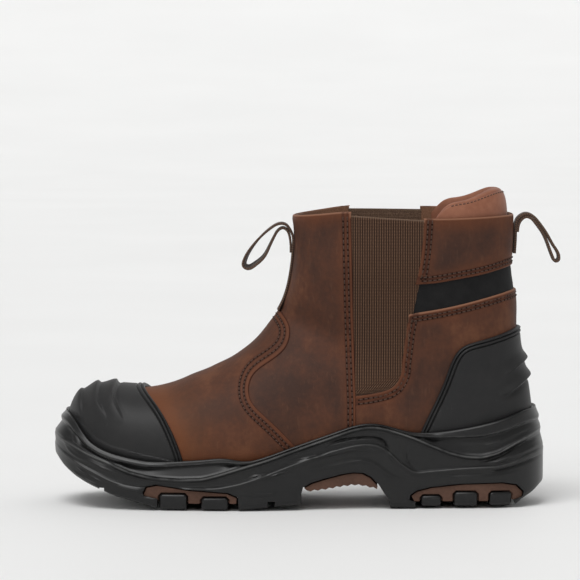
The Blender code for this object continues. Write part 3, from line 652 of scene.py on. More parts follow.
front = Sheet((0.98, 2.76), (-2.9, 2.9), 1.5)
front.trim(FRONT_EDGE).trim(FEATHER).trim(COLLAR_EDGE)
front.keep(-front.gap(VAMP_EDGE), -UNDER_LAP)
front.scored(EDGE_CUTS, FRONT_EDGE, COLLAR_EDGE)
seam, top = front.gap(FRONT_EDGE), front.gap(COLLAR_EDGE)
height = FRONT_FACE + creased(front.points()) + sewn(seam, FRONT_ROWS) + rolled(seam, 0.9, 0.8)
height += rolled(top, 1.3, 1.45) + swell(top, 3.2, 2.4, 0.35)
hide_panel(
    "shaft_front", front, height, edge=edged(front, FRONT_EDGE, COLLAR_EDGE),
    seam=seamed((seam, FRONT_ROWS)), pale=top < PALE_EDGE, warm=warmed(front))

# Gores: two panels of ribbed elastic webbing, woven with rubber threads that stand up as fine ribs, let in
# behind the shaft front and the quarters. Their top is a narrow woven selvedge.
GORE_FACE = -0.8
GORE_WALL = 1.0
RIB_PITCH = 1.48
RIB_HEIGHT = 0.42
SELVEDGE = 2.4
GORE_FOOT = 69.0
GORE_TOP = 182.6
GORE_LAP_FRONT = 3.0
GORE_LAP_REAR = 2.5
FIRST_RIB_X = 28.0
GORE_LINES = 64
GORE_COLUMNS = 251

elastic, place = new_material("ribbed_elastic", specular_ior_level=0.12, sheen_weight=0.08)
ribs = place.attribute("rib")
pick_line = place.node("ShaderNodeTexWave", {"bands_direction": "Z"}, {
    "Vector": place, "Scale": 165.0, "Distortion": 1.0, "Detail": 1.0, "Detail Scale": 3.0}, "Fac")
fuzz = place.noise(1700, 3)
weave = ribs.ramp((0.05, (0.016, 0.009, 0.005)), (0.55, (0.074, 0.038, 0.023)), (1.0, (0.140, 0.076, 0.047)))
weave = weave.tint(pick_line * 0.42, (0.030, 0.016, 0.010))
weave = weave.tint(fuzz.fade(0.5, 0.75) * 0.20, (0.13, 0.082, 0.056))
# Painted light: the inner face of each gore gets a lighter colour, standing in for light that the lamps
# barely bring inside the shaft
inner = fuzz.ramp((0.3, (0.070, 0.040, 0.026)), (0.7, (0.17, 0.105, 0.070)))
weave = weave.tint(place.attribute("inside"), inner)
weave = weave.tint((1 - place.attribute("edge").fade(0.2, 1.4)) * 0.55, (0.20, 0.135, 0.095))
paint(elastic, base_color=weave, roughness=0.82 + 0.1 * fuzz,
      normal=(pick_line * 0.6 + fuzz * 0.5).bump(0.45, 0.25))
for node, name, side, top_line in (
    ("gore_lateral", "outer_elastic", -1, (182.8, 180.2)),
    ("gore_medial", "inner_elastic", 1, (183.8, 183.2)),
):
    rows = np.linspace(GORE_FOOT, GORE_TOP, GORE_LINES)
    front_x = np.interp(rows, FRONT_EDGE.points[1:, 1], FRONT_EDGE.points[1:, 0]) - GORE_LAP_FRONT
    rear = GORE_EDGE.points[GORE_EDGE.points[:, 1].argsort()]
    rear_x = np.interp(rows, rear[:, 1], rear[:, 0]) + GORE_LAP_REAR
    columns = np.linspace(0, 1, GORE_COLUMNS)
    x = front_x[:, None] + (rear_x - front_x)[:, None] * columns
    top_z = np.interp(x, [27.5, 70.4], top_line)
    z = rows[0] + (top_z - rows[0]) * np.linspace(0, 1, len(rows))[:, None]
    rib = (0.5 + 0.5 * np.cos(2 * math.pi * (x - FIRST_RIB_X) / RIB_PITCH)).ravel()
    below_top = (top_z - z).ravel()
    selvedge = np.clip((SELVEDGE - below_top) / 0.8, 0, 1)
    station, angle = spot_of(x.ravel(), z.ravel(), side)
    lift = GORE_FACE - 0.15 + RIB_HEIGHT * (rib ** 0.7 - 0.5) * (1 - 0.7 * selvedge)
    lift += 0.35 * selvedge * np.sin(np.clip(below_top / SELVEDGE, 0, 1) * math.pi)
    points = on_last(station, angle) + facing(station, angle) * lift[:, None]
    faces = np.roll(quads(len(rows), len(columns)), -1, axis=1)[:, ::side]
    piece = made_mesh(name, points, faces.tolist(), rib=rib, edge=below_top)
    wall(piece, GORE_WALL)
    # Marks the inner shell, whose colour is painted lighter as painted light
    mark(piece.data, "inside", np.arange(len(piece.data.vertices)) >= len(points))
    fit(piece, elastic, "elastic", node)

# Quarters: one piece of nubuck round the heel from gore to gore, its front edge turned in round the elastic
# and its top edge folded over the black strip, both sewn down.
QUARTER_FACE = -0.7
QUARTER_TOP = Line(
    [(40.0, 117.0), (61.7, 121.2), (80.6, 124.3), (100.8, 128.6), (121.9, 133.9), (129.8, 135.8),
     (150.0, 139.4)], -1, 40)
GORE_ROWS = (2.8, 5.4)
TOP_ROWS = (2.5, 4.7)


def turned_in(gap):
    """The edge of the quarters or of the collar band, turned in round the elastic."""
    return rolled(gap, 1.2, 0.9) + swell(gap, 1.2, 1.2, 0.25)


quarters = Sheet((1.2, 2.1), (0.35, 2 * math.pi - 0.35), 1.5)
quarters.trim(QUARTER_TOP).trim(GORE_EDGE).trim(FEATHER)
quarters.keep(-quarters.gap(FRONT_EDGE), -UNDER_LAP)
quarters.scored(EDGE_CUTS, QUARTER_TOP, GORE_EDGE)
side, top = quarters.gap(GORE_EDGE), quarters.gap(QUARTER_TOP)
height = QUARTER_FACE + creased(quarters.points()) + sewn(side, GORE_ROWS) + sewn(top, TOP_ROWS)
height += turned_in(side)
height += rolled(top, 1.2, 1.3) + swell(top, 1.3, 1.3, 0.55)
hide_panel(
    "quarters", quarters, height, edge=edged(quarters, GORE_EDGE, QUARTER_TOP),
    seam=seamed((side, GORE_ROWS), (top, TOP_ROWS)), pale=top < PALE_EDGE, warm=warmed(quarters))

# Collar band: a strip of nubuck round the back of the top, sewn to the rear edge of each gore and along its
# foot, and turned over at the collar.
BAND_FOOT = Line(
    [(40.0, 138.4), (66.0, 139.6), (76.6, 140.2), (92.1, 142.7), (110.5, 146.0), (126.4, 149.9),
     (150.0, 155.0)], 1, 40)
FOOT_ROWS = (2.2, 4.5)
band = Sheet((1.9, 2.76), (0.6, 2 * math.pi - 0.6), 1.5)
band.trim(BAND_FOOT).trim(GORE_EDGE).trim(COLLAR_EDGE)
band.scored(EDGE_CUTS, BAND_FOOT, GORE_EDGE, COLLAR_EDGE)
side, foot, top = band.gap(GORE_EDGE), band.gap(BAND_FOOT), band.gap(COLLAR_EDGE)
height = QUARTER_FACE + creased(band.points()) + sewn(side, GORE_ROWS) + sewn(foot, FOOT_ROWS)
height += turned_in(side)
height += rolled(foot, 1.0, 1.0) + swell(foot, 1.2, 1.2, 0.35) + rolled(top, 1.3, 0.9)
hide_panel(
    "collar_band", band, height, edge=edged(band, GORE_EDGE, BAND_FOOT, COLLAR_EDGE),
    seam=seamed((side, GORE_ROWS), (foot, FOOT_ROWS)), pale=top < PALE_EDGE, warm=np.zeros(len(top)))

# Collar strip: a matt black textile strip let in between the band and the quarters, its edges caught under
# both. It is plain all the way round.
STRIP_FACE = -1.25
STRIP_LAP = 2.0
STRIP_WALL = 0.6
strip = Sheet((1.8, 2.3), (0.6, 2 * math.pi - 0.6), 1.6)
strip.trim(GORE_EDGE, 0.4)
over, under = -strip.gap(QUARTER_TOP), -strip.gap(BAND_FOOT)
strip.keep(np.minimum(over, under) + STRIP_LAP, 0)
height = STRIP_FACE - 0.35 * np.exp(-((over / 2.0) ** 2)) - 0.35 * np.exp(-((under / 2.0) ** 2))
height += rolled(strip.gap(GORE_EDGE) - 0.4, 1.2, 0.6)
piece = made_mesh("black_strip", strip.points(height), strip.faces)
wall(piece, STRIP_WALL)
textile, place = new_material("black_textile", specular_ior_level=0.15, sheen_weight=0.03)
cross = place.noise(2200, 2)
nap = place.noise(160, 3)
paint(
    textile,
    base_color=(cross * 0.5 + nap * 0.5).ramp((0.3, (0.006, 0.006, 0.0065)), (0.75, (0.016, 0.0155, 0.0155))),
    roughness=0.72 + 0.2 * cross, normal=cross.bump(0.35, 0.25))
fit(piece, textile, "strip", "collar_strip")

# Vamp: the nubuck over the forefoot and the instep, pulled down over the last. Its curved rear edge is cut
# clean and lies on the shaft front, held by two rows of stitches.
VAMP_FACE = 0.9
CAP_EDGE = Line(
    [(-116.0, 92.0), (-107.3, 75.4), (-94.6, 62.5), (-84.6, 47.5), (-78.4, 32.0), (-74.6, 16.0)], -1, 40)
VAMP_ROWS = (3.1, 6.0)
VAMP_CUTS = (0.12, 0.35, 0.7, 1.1)
vamp = Sheet((0.28, 1.98), (-2.95, 2.95), 1.5)
vamp.trim(VAMP_EDGE).trim(FEATHER)
vamp.keep(-vamp.gap(CAP_EDGE), -UNDER_LAP)
vamp.scored(VAMP_CUTS, VAMP_EDGE)
rear = vamp.gap(VAMP_EDGE)
height = VAMP_FACE + creased(vamp.points()) + sewn(rear, VAMP_ROWS) + rolled(rear, 0.8, 0.9)
hide_panel(
    "vamp", vamp, height,
    edge=np.min([rear, np.abs(vamp.gap(CAP_EDGE)) + 1.5, vamp.gap(FEATHER) - 4.0], axis=0),
    seam=seamed((rear, VAMP_ROWS)), pale=np.zeros(len(rear)),
    warm=np.maximum(warmed(vamp), np.exp(-np.abs(vamp.gap(CAP_EDGE)) / 13.0)))

# Stitching: rows of waxed dark thread, each stitch a short bent length that dives into its needle holes.
# The holes are punched a little wide; each is a flat dark disc laid on the leather, painted shade for the
# hollow of the hole.
THREAD = 0.34
THREAD_SIDES = 6
THREAD_RINGS = np.array([0.0, 0.12, 0.5, 0.88, 1.0])
THREAD_RISE = np.array([-0.45, 0.02, 0.26, 0.02, -0.45])
THREAD_THICK = np.array([0.6, 0.95, 1.0, 0.95, 0.6])
HOLE_RADIUS = 0.68
HOLE_SIDES = 8
HOLE_LIFT = 0.06
HOLE_BACK = 0.09
STITCH_SHARE = 0.82
SEAM_STEP = 0.06
SEAM_MISS = 0.1
SEAM_SINK = 0.12


def seam_path(line, distance, side, height):
    """Points and normals of a row of stitches on the panel, as far as the line runs over the last."""
    path = line.beside(distance)
    run = run_along(path)
    even = np.linspace(0, run[-1], int(run[-1] / SEAM_STEP) + 2)
    x, z = np.interp(even, run, path[:, 0]), np.interp(even, run, path[:, 1])
    station, angle = spot_of(x, z, side)
    points = on_last(station, angle)
    over = np.hypot(points[:, 0] - x, points[:, 2] - z) < SEAM_MISS
    points, out = points[over], facing(station, angle)[over]
    return points + out * (height + creased(points))[:, None], out


def stitch_row(points, out, pitch):
    """Thread and hole meshes along a path: lists of points and faces for each."""
    run = run_along(points)
    thread, holes = [], []
    for start in np.arange(0.3 * pitch, run[-1] - 0.85 * pitch, pitch):
        where = start + pitch * STITCH_SHARE * THREAD_RINGS
        line = np.stack([np.interp(where, run, points[:, k]) for k in range(3)], axis=1)
        up = np.stack([np.interp(where, run, out[:, k]) for k in range(3)], axis=1)
        up /= np.linalg.norm(up, axis=1, keepdims=True)
        across = np.cross(np.gradient(line, axis=0), up)
        across /= np.linalg.norm(across, axis=1, keepdims=True)
        line = line + up * THREAD_RISE[:, None]
        turn = 2 * math.pi * np.arange(THREAD_SIDES) / THREAD_SIDES
        ring = across[:, None] * np.cos(turn)[None, :, None] + up[:, None] * np.sin(turn)[None, :, None]
        thread.append((line[:, None] + ring * (THREAD * THREAD_THICK)[:, None, None]).reshape(-1, 3))
        spot = np.array([np.interp(start - HOLE_BACK * pitch, run, points[:, k]) for k in range(3)])
        turn = 2 * math.pi * np.arange(HOLE_SIDES) / HOLE_SIDES
        ahead = np.cross(up[0], across[0])
        round_hole = across[0] * np.cos(turn)[:, None] + ahead * np.sin(turn)[:, None]
        holes.append(spot + up[0] * HOLE_LIFT + round_hole * HOLE_RADIUS)
    return thread, holes


def tube_faces(rings, size):
    """Faces along a tube of closed rings of points, without its ends."""
    return [(i * size + j, i * size + k, (i + 1) * size + k, (i + 1) * size + j)
            for i in range(rings - 1) for j in range(size) for k in [(j + 1) % size]]


def sewn_thread(name, threads):
    """One piece of all the stitches given, each a closed tube."""
    size = THREAD_SIDES * len(THREAD_RINGS)
    tube = [tuple(range(THREAD_SIDES))[::-1], tuple(range(size - THREAD_SIDES, size))]
    tube += tube_faces(len(THREAD_RINGS), THREAD_SIDES)
    faces = [tuple(v + n * size for v in face) for n in range(len(threads)) for face in tube]
    return smooth(solid(name, np.vstack(threads), faces), 60)


SEWN_ROWS = [
    (FRONT_EDGE, FRONT_ROWS, FRONT_FACE, 3.6, lambda x, z: (z > 44) & (z < 184)),
    (GORE_EDGE, GORE_ROWS, QUARTER_FACE, 3.1, lambda x, z: (x > 30.5) & (z < 112.5 + 0.1 * x)),
    (GORE_EDGE, GORE_ROWS, QUARTER_FACE, 3.1, lambda x, z: (z > 143) & (z < 180.5)),
    (QUARTER_TOP, TOP_ROWS, QUARTER_FACE + 0.15, 3.1, lambda x, z: x > 64),
    (BAND_FOOT, FOOT_ROWS, QUARTER_FACE + 0.1, 3.1, lambda x, z: x > 70),
    (VAMP_EDGE, VAMP_ROWS, VAMP_FACE, 2.9, lambda x, z: z > 36),
]
threads, holes = [], []
for line, rows, face, pitch, wanted in SEWN_ROWS:
    for row in rows:
        for side in (-1, 1):
            points, out = seam_path(line, row, side, face - SEAM_SINK)
            found = wanted(points[:, 0], points[:, 2])
            more_thread, more_holes = stitch_row(points[found], out[found], pitch)
            threads += more_thread
            holes += more_holes
piece = sewn_thread("stitching", threads)
waxed, place = new_material("waxed_thread", specular_ior_level=0.4)
twist = place.noise(2600, 2)
paint(
    waxed, base_color=twist.ramp((0.3, (0.030, 0.015, 0.010)), (0.7, (0.085, 0.042, 0.026))),
    roughness=0.5 + 0.3 * twist, normal=twist.bump(0.3, 0.15))
fit(piece, waxed, "leather")
# Each hole is a flat dark disc on the leather: painted shade in place of the hollow of the hole
faces = [tuple(n * HOLE_SIDES + j for j in range(HOLE_SIDES)) for n in range(len(holes))]
piece = made_mesh("needle_holes", np.vstack(holes), faces)
apply(piece, "SOLIDIFY", thickness=0.1 * MM, offset=0)
punched, place = new_material("punched_hole", specular_ior_level=0.1)
deep = place.noise(900, 2)
paint(
    punched, base_color=deep.ramp((0.3, (0.013, 0.006, 0.004)), (0.7, (0.028, 0.013, 0.008))),
    roughness=0.85 + 0.1 * deep)
fit(piece, punched, "leather")

# Toe cap: a moulded black rubber guard bonded over the front of the vamp. Three soft folds run across its
# top, a double bead borders its rear edge, and a low ledge runs round above the sole.
CAP_FACE = 3.4
CAP_LEDGE = Line([(-146.8, 57.0), (-139.4, 50.8), (-131.6, 43.8), (-122.6, 39.2), (-112.0, 36.6)], 1, 24)
Fold = namedtuple("Fold", "line height front back")
CAP_FOLDS = [
    Fold(Line([(-142.0, 90.0), (-141.9, 72.6), (-141.4, 66.0), (-140.2, 57.0), (-139.0, 51.0)], -1, 24),
         1.4, 4.0, 1.0),
    Fold(Line([(-130.6, 90.0), (-131.0, 76.5), (-132.4, 69.6), (-131.2, 63.8), (-127.4, 58.0),
               (-124.0, 53.0)], -1, 24), 1.9, 4.2, 1.0),
    Fold(Line([(-116.8, 90.0), (-117.4, 77.4), (-122.8, 70.0), (-122.4, 64.6), (-117.2, 56.0),
               (-114.4, 51.0)], -1, 24), 2.0, 4.6, 1.1),
]
FOLD_CUTS = (-2.4, -1.5, -0.8, -0.3, 0.0, 0.7, 1.6)
BEAD_CUTS = (0.12, 0.35, 0.6, 0.9, 1.2, 1.45, 1.75, 2.05, 2.35, 2.8, 3.2, 3.55, 3.9, 4.25, 4.6)
GUARD_WALL = 1.2


def folded(points, folds, fade_from, fade_to):
    """Height of moulded folds: a long slope up to each line and a short fall behind it."""
    height = np.zeros(len(points))
    for fold in folds:
        gap, along = fold.line.nearest(points[:, 0], points[:, 2])
        shape = np.where(gap > 0, np.exp(-((gap / fold.front) ** 2)), np.exp(-((gap / fold.back) ** 2)))
        fade = np.clip((fade_to - along) / (fade_to - fade_from), 0, 1)
        height = np.maximum(height, fold.height * shape * fade)
        height -= swell(gap, -2.2, 1.1, 0.3 * fold.height) * fade
    return height


def beaded(gap):
    """The double bead along a guard's edge: two round cords with a groove between and one behind."""
    return (swell(gap, 0.9, 0.65, 0.35) - swell(gap, 1.75, 0.40, 0.85) + swell(gap, 2.8, 0.75, 0.40)
            - swell(gap, 3.9, 0.42, 0.85))


cap = Sheet((0.0, 0.80), (-math.pi, math.pi), 1.0)
cap.trim(CAP_EDGE).trim(FEATHER)
cap.scored(BEAD_CUTS, CAP_EDGE)
for fold in CAP_FOLDS:
    cap.scored(FOLD_CUTS, fold.line)
rear = cap.gap(CAP_EDGE)
bare = cap.points()
calm = np.clip((rear - 5.0) / 4.0, 0, 1)
height = CAP_FACE + folded(bare, CAP_FOLDS, 0.70, 0.97) * calm + beaded(rear) + rolled(rear, 0.8, 2.3)
ledge = CAP_LEDGE.gap(bare[:, 0], bare[:, 2])
height += np.where(ledge < 0, 0.55, 0.55 * np.exp(-((ledge / 0.7) ** 2)))
piece = made_mesh("toe_guard", cap.points(height), cap.faces)
wall(piece, GUARD_WALL)
guard, place = new_material("moulded_guard", specular_ior_level=0.30)
stipple = place.noise(2600, 2)
cast = place.noise(26, 3) * 0.6 + place.noise(190, 4) * 0.4
scuff = place.stretched(1, 1, 0.3).noise(520, 4).fade(0.66, 0.80)
paint(
    guard,
    base_color=cast.ramp((0.3, (0.0090, 0.0090, 0.0095)), (0.7, (0.0165, 0.016, 0.016))).tint(
        scuff * 0.12, (0.07, 0.068, 0.065)),
    roughness=0.42 + 0.12 * cast + 0.10 * stipple, normal=stipple.bump(0.22, 0.18))
fit(piece, guard, "guard", "toe_cap")

# Heel counter: the same rubber bonded round the heel, with the double bead along its front and top edge and
# two raised wedges on its back.
COUNTER_FACE = 1.6
COUNTER_EDGE = Line(
    [(63.0, 28.0), (70.3, 48.5), (77.1, 62.8), (85.3, 81.5), (90.0, 93.6), (94.2, 99.4), (108.3, 104.8),
     (131.5, 111.8), (146.0, 116.0)], -1, 60)
COUNTER_FOLDS = [
    Fold(Line([(150.0, 103.0), (136.6, 93.2), (129.0, 87.8), (122.5, 83.5), (118.0, 81.5)], -1, 20),
         2.5, 3.4, 0.9),
    Fold(Line([(150.0, 92.0), (139.0, 83.0), (131.0, 77.0), (122.0, 71.0), (116.0, 68.5)], -1, 20),
         2.5, 3.4, 0.9),
]
counter = Sheet((1.35, 2.0), (0.8, 2 * math.pi - 0.8), 1.1)
counter.trim(COUNTER_EDGE).trim(FEATHER)
counter.scored(BEAD_CUTS, COUNTER_EDGE)
for fold in COUNTER_FOLDS:
    counter.scored(FOLD_CUTS, fold.line)
rim = counter.gap(COUNTER_EDGE)
height = COUNTER_FACE + beaded(rim) + rolled(rim, 0.8, 2.0)
height += folded(counter.points(), COUNTER_FOLDS, 0.76, 0.92)
piece = made_mesh("heel_guard", counter.points(height), counter.faces)
wall(piece, GUARD_WALL)
fit(piece, guard, "guard", "heel_counter")

# Collar pad: a foam roll covered in thin smooth tan leather, sewn inside the back of the collar and standing
# a little above it. A seam along its outer side joins the face to the top.
PAD_STATION = 2 + (COLLAR_HEIGHT - PIVOT_Z) / (FORM_TOP - PIVOT_Z)
PAD_FIRST_ANGLE = math.radians(102)
PAD_COLUMNS = 150
PAD_RING = 96
PAD_SEAM_TURN = 1.15
PAD_GAP = 1.6
PAD_LEAN = 0.8
PAD_SQUARE = 0.66
PAD_STITCH = 2.6
Pad = namedtuple("Pad", "share top under thick")
PAD = [
    Pad(0.00, 198.2, 158.0, 12.5), Pad(0.30, 198.6, 157.0, 12.5), Pad(0.55, 195.8, 157.5, 11.5),
    Pad(0.80, 191.4, 160.0, 8.5), Pad(0.95, 186.4, 165.0, 3.8), Pad(1.00, 181.0, 170.0, 0.6)]
angle = np.linspace(PAD_FIRST_ANGLE, 2 * math.pi - PAD_FIRST_ANGLE, PAD_COLUMNS)
roll = spline([row.share for row in PAD], PAD)(np.abs(angle - math.pi) / (math.pi - PAD_FIRST_ANGLE))
turn = 2 * math.pi * np.arange(PAD_RING) / PAD_RING
station = np.full(PAD_COLUMNS, PAD_STATION)
edge_points, edge_out = on_last(station, angle), facing(station, angle)
thick, top, under = roll[:, 3], roll[:, 1], roll[:, 2]
seam = np.exp(-(((turn - PAD_SEAM_TURN) / 0.05) ** 2))
wide = np.sign(np.cos(turn)) * np.abs(np.cos(turn)) ** PAD_SQUARE
tall = np.sign(np.sin(turn)) * np.abs(np.sin(turn)) ** PAD_SQUARE
puckers = 0.10 * np.sin(angle * 46 + 1.3 * np.sin(angle * 9)) * np.clip(thick / 8, 0, 1)
points = []
for i in range(PAD_COLUMNS):
    plump = 1 - 0.055 * seam + 0.012 * puckers[i] * np.exp(-(((turn - PAD_SEAM_TURN) / 0.3) ** 2))
    lean = PAD_LEAN * np.clip(np.sin(turn), 0, 1) * thick[i] / PAD[0].thick
    inward = PAD_GAP - LINING_FACE + lean + thick[i] / 2 * (1 - wide * plump)
    height = (top[i] + under[i]) / 2 + (top[i] - under[i]) / 2 * tall * (1 - 0.03 * seam)
    spot = edge_points[i] - edge_out[i] * inward[:, None]
    points.append(np.column_stack([spot[:, :2], height]))
faces = tube_faces(PAD_COLUMNS, PAD_RING)
faces += [tuple(range(PAD_RING))[::-1], tuple(range((PAD_COLUMNS - 1) * PAD_RING, PAD_COLUMNS * PAD_RING))]
piece = made_mesh("padded_collar", np.vstack(points), faces, seam=np.tile(1 - seam, PAD_COLUMNS))
weld(piece, turn_out=True)
smooth(piece, 70)
tan, place = new_material("tan_leather", specular_ior_level=0.25)
cloud = place.noise(40, 3) * 0.6 + place.noise(260, 4) * 0.4
grain = place.node(
    "ShaderNodeTexVoronoi", {"feature": "SMOOTH_F1"}, {"Vector": place, "Scale": 900.0}, "Distance")
skin = cloud.ramp((0.3, (0.200, 0.074, 0.041)), (0.7, (0.300, 0.125, 0.074)))
skin = skin.tint((1 - place.attribute("seam").fade(0.1, 0.8)) * 0.6, (0.13, 0.045, 0.03))
paint(tan, base_color=skin, roughness=0.46 + 0.14 * cloud, normal=grain.bump(0.18, 0.25))
fit(piece, tan, "pad", "collar_pad")
roll = np.array(points)
row = int(PAD_SEAM_TURN / (2 * math.pi) * PAD_RING) - 2
path = roll[:, row]
out = np.cross(np.gradient(roll, axis=0)[:, row], np.gradient(roll, axis=1)[:, row])
out /= np.linalg.norm(out, axis=1, keepdims=True)
out *= np.sign(np.sum(out * (path - roll.mean(axis=1)), axis=1, keepdims=True))
threads, _ = stitch_row(path[8:-8] - 0.1 * out[8:-8], out[8:-8], PAD_STITCH)
fit(sewn_thread("collar_stitching", threads), waxed, "pad")

# Pull loops: dark brown woven tape, one length at the front and one at the back. Each is sewn flat down the
# middle of the shaft, stands out as a hanging loop, and is tucked back under itself.
WEB_WIDTH = 14.0
FRONT_STRIP = [(x - 0.55, z) for x, z in ridge_at(station_of(np.full(9, -14.0), np.linspace(119, 168, 9)))]
FRONT_LOOP = FRONT_STRIP + [
    (-11.9, 172.6), (-14.6, 175.6), (-18.6, 176.0), (-23.0, 173.8), (-28.6, 169.2), (-36.0, 160.6),
    (-40.2, 152.8), (-40.4, 149.6), (-38.2, 148.4), (-34.4, 150.0), (-28.2, 155.4), (-24.2, 162.8),
    (-21.4, 168.4), (-18.8, 172.2), (-16.0, 173.4), (-13.6, 172.0), (-12.0, 168.4), (-11.3, 163.0),
    (-11.2, 158.0)]
REAR_STRIP = [(x + 0.45, z) for x, z in keel_at(station_of(np.full(5, 120.0), np.linspace(157.5, 174, 5)))]
REAR_LOOP = REAR_STRIP + [
    (131.2, 178.5), (133.4, 180.9), (136.7, 182.3), (140.3, 181.4), (144.9, 176.9), (149.7, 170.1),
    (154.3, 162.1), (157.6, 155.0), (157.0, 153.0), (155.2, 152.6), (153.9, 154.4), (151.5, 160.6),
    (148.1, 169.0), (143.5, 175.7), (139.3, 179.9), (136.8, 180.5), (134.6, 179.4),
    (132.6, 176.8), (131.5, 171.0)]
WEB_TWIST = math.radians(7)
tape, place = new_material("woven_tape", specular_ior_level=0.25, sheen_weight=0.2)
along, across = place.attribute("along"), place.attribute("across")
twill = place.sums("SINE", along * 4.4 + across * 3.6, 0.0)
cords = place.sums("SINE", across * 5.2, 0.0)
fuzz = place.noise(1900, 3)
woven = (twill * 0.25 + cords * 0.2 + fuzz * 0.6 + 0.2).ramp(
    (0.2, (0.022, 0.012, 0.008)), (0.55, (0.062, 0.034, 0.022)), (0.9, (0.125, 0.072, 0.048)))
paint(tape, base_color=woven, roughness=0.78 + 0.15 * fuzz,
      normal=(twill * 0.5 + cords * 0.5 + fuzz).bump(0.5, 0.22))
edge_y = WEB_WIDTH / 2
flat_y = np.linspace(-edge_y + 0.5, edge_y - 0.5, 13)
ring = np.vstack([
    (-edge_y, -0.05), np.column_stack([flat_y, np.full(13, -0.5)]), (edge_y, -0.05),
    (edge_y, 0.05), np.column_stack([flat_y[::-1], np.full(13, 0.5)]), (-edge_y, 0.05)])
size = len(ring)
for node, name, path, thickness, twist in (
    ("pull_loop_front", "front_tape", FRONT_LOOP, 1.45, WEB_TWIST),
    ("pull_loop_rear", "rear_tape", REAR_LOOP, 1.7, 0.0),
):
    line = curve_through(path, 170)
    run = run_along(line)
    heading = np.gradient(line, axis=0)
    heading /= np.linalg.norm(heading, axis=1, keepdims=True)
    left = np.stack([-heading[:, 1], heading[:, 0]], axis=1)
    tilt = math.tan(twist) * np.exp(-(((run / run[-1] - 0.64) / 0.12) ** 2))
    off = ring[:, 1] * thickness + tilt[:, None] * ring[:, 0]
    points = np.zeros((len(line), size, 3))
    points[:, :, 1] = ring[:, 0]
    points[:, :, 0] = line[:, :1] + left[:, :1] * off
    points[:, :, 2] = line[:, 1:] + left[:, 1:] * off
    faces = [tuple(range(size)), tuple(range((len(line) - 1) * size, len(line) * size))[::-1]]
    faces += tube_faces(len(line), size)
    piece = made_mesh(
        name, points.reshape(-1, 3), faces, along=np.repeat(run, size), across=np.tile(ring[:, 0], len(line)))
    weld(piece, turn_out=True)
    smooth(piece, 50)
    fit(piece, tape, "webbing", node)

# Insole: a felted sheet on the foot bed, seen only down the shaft.
# It is die cut and lies loose, so its solid is kept and only its felt is added.
felt, place = new_material("grey_felt", specular_ior_level=0.1, sheen_weight=0.3)
fibre = place.noise(1300, 5, 0.7)
paint(
    felt, base_color=fibre.ramp((0.3, (0.030, 0.030, 0.031)), (0.7, (0.085, 0.083, 0.080))),
    roughness=0.86 + 0.1 * fibre, normal=fibre.bump(0.6, 0.5))
insole = frame["nodes"]["insole"]
insole.data.materials.clear()
insole.data.materials.append(felt)

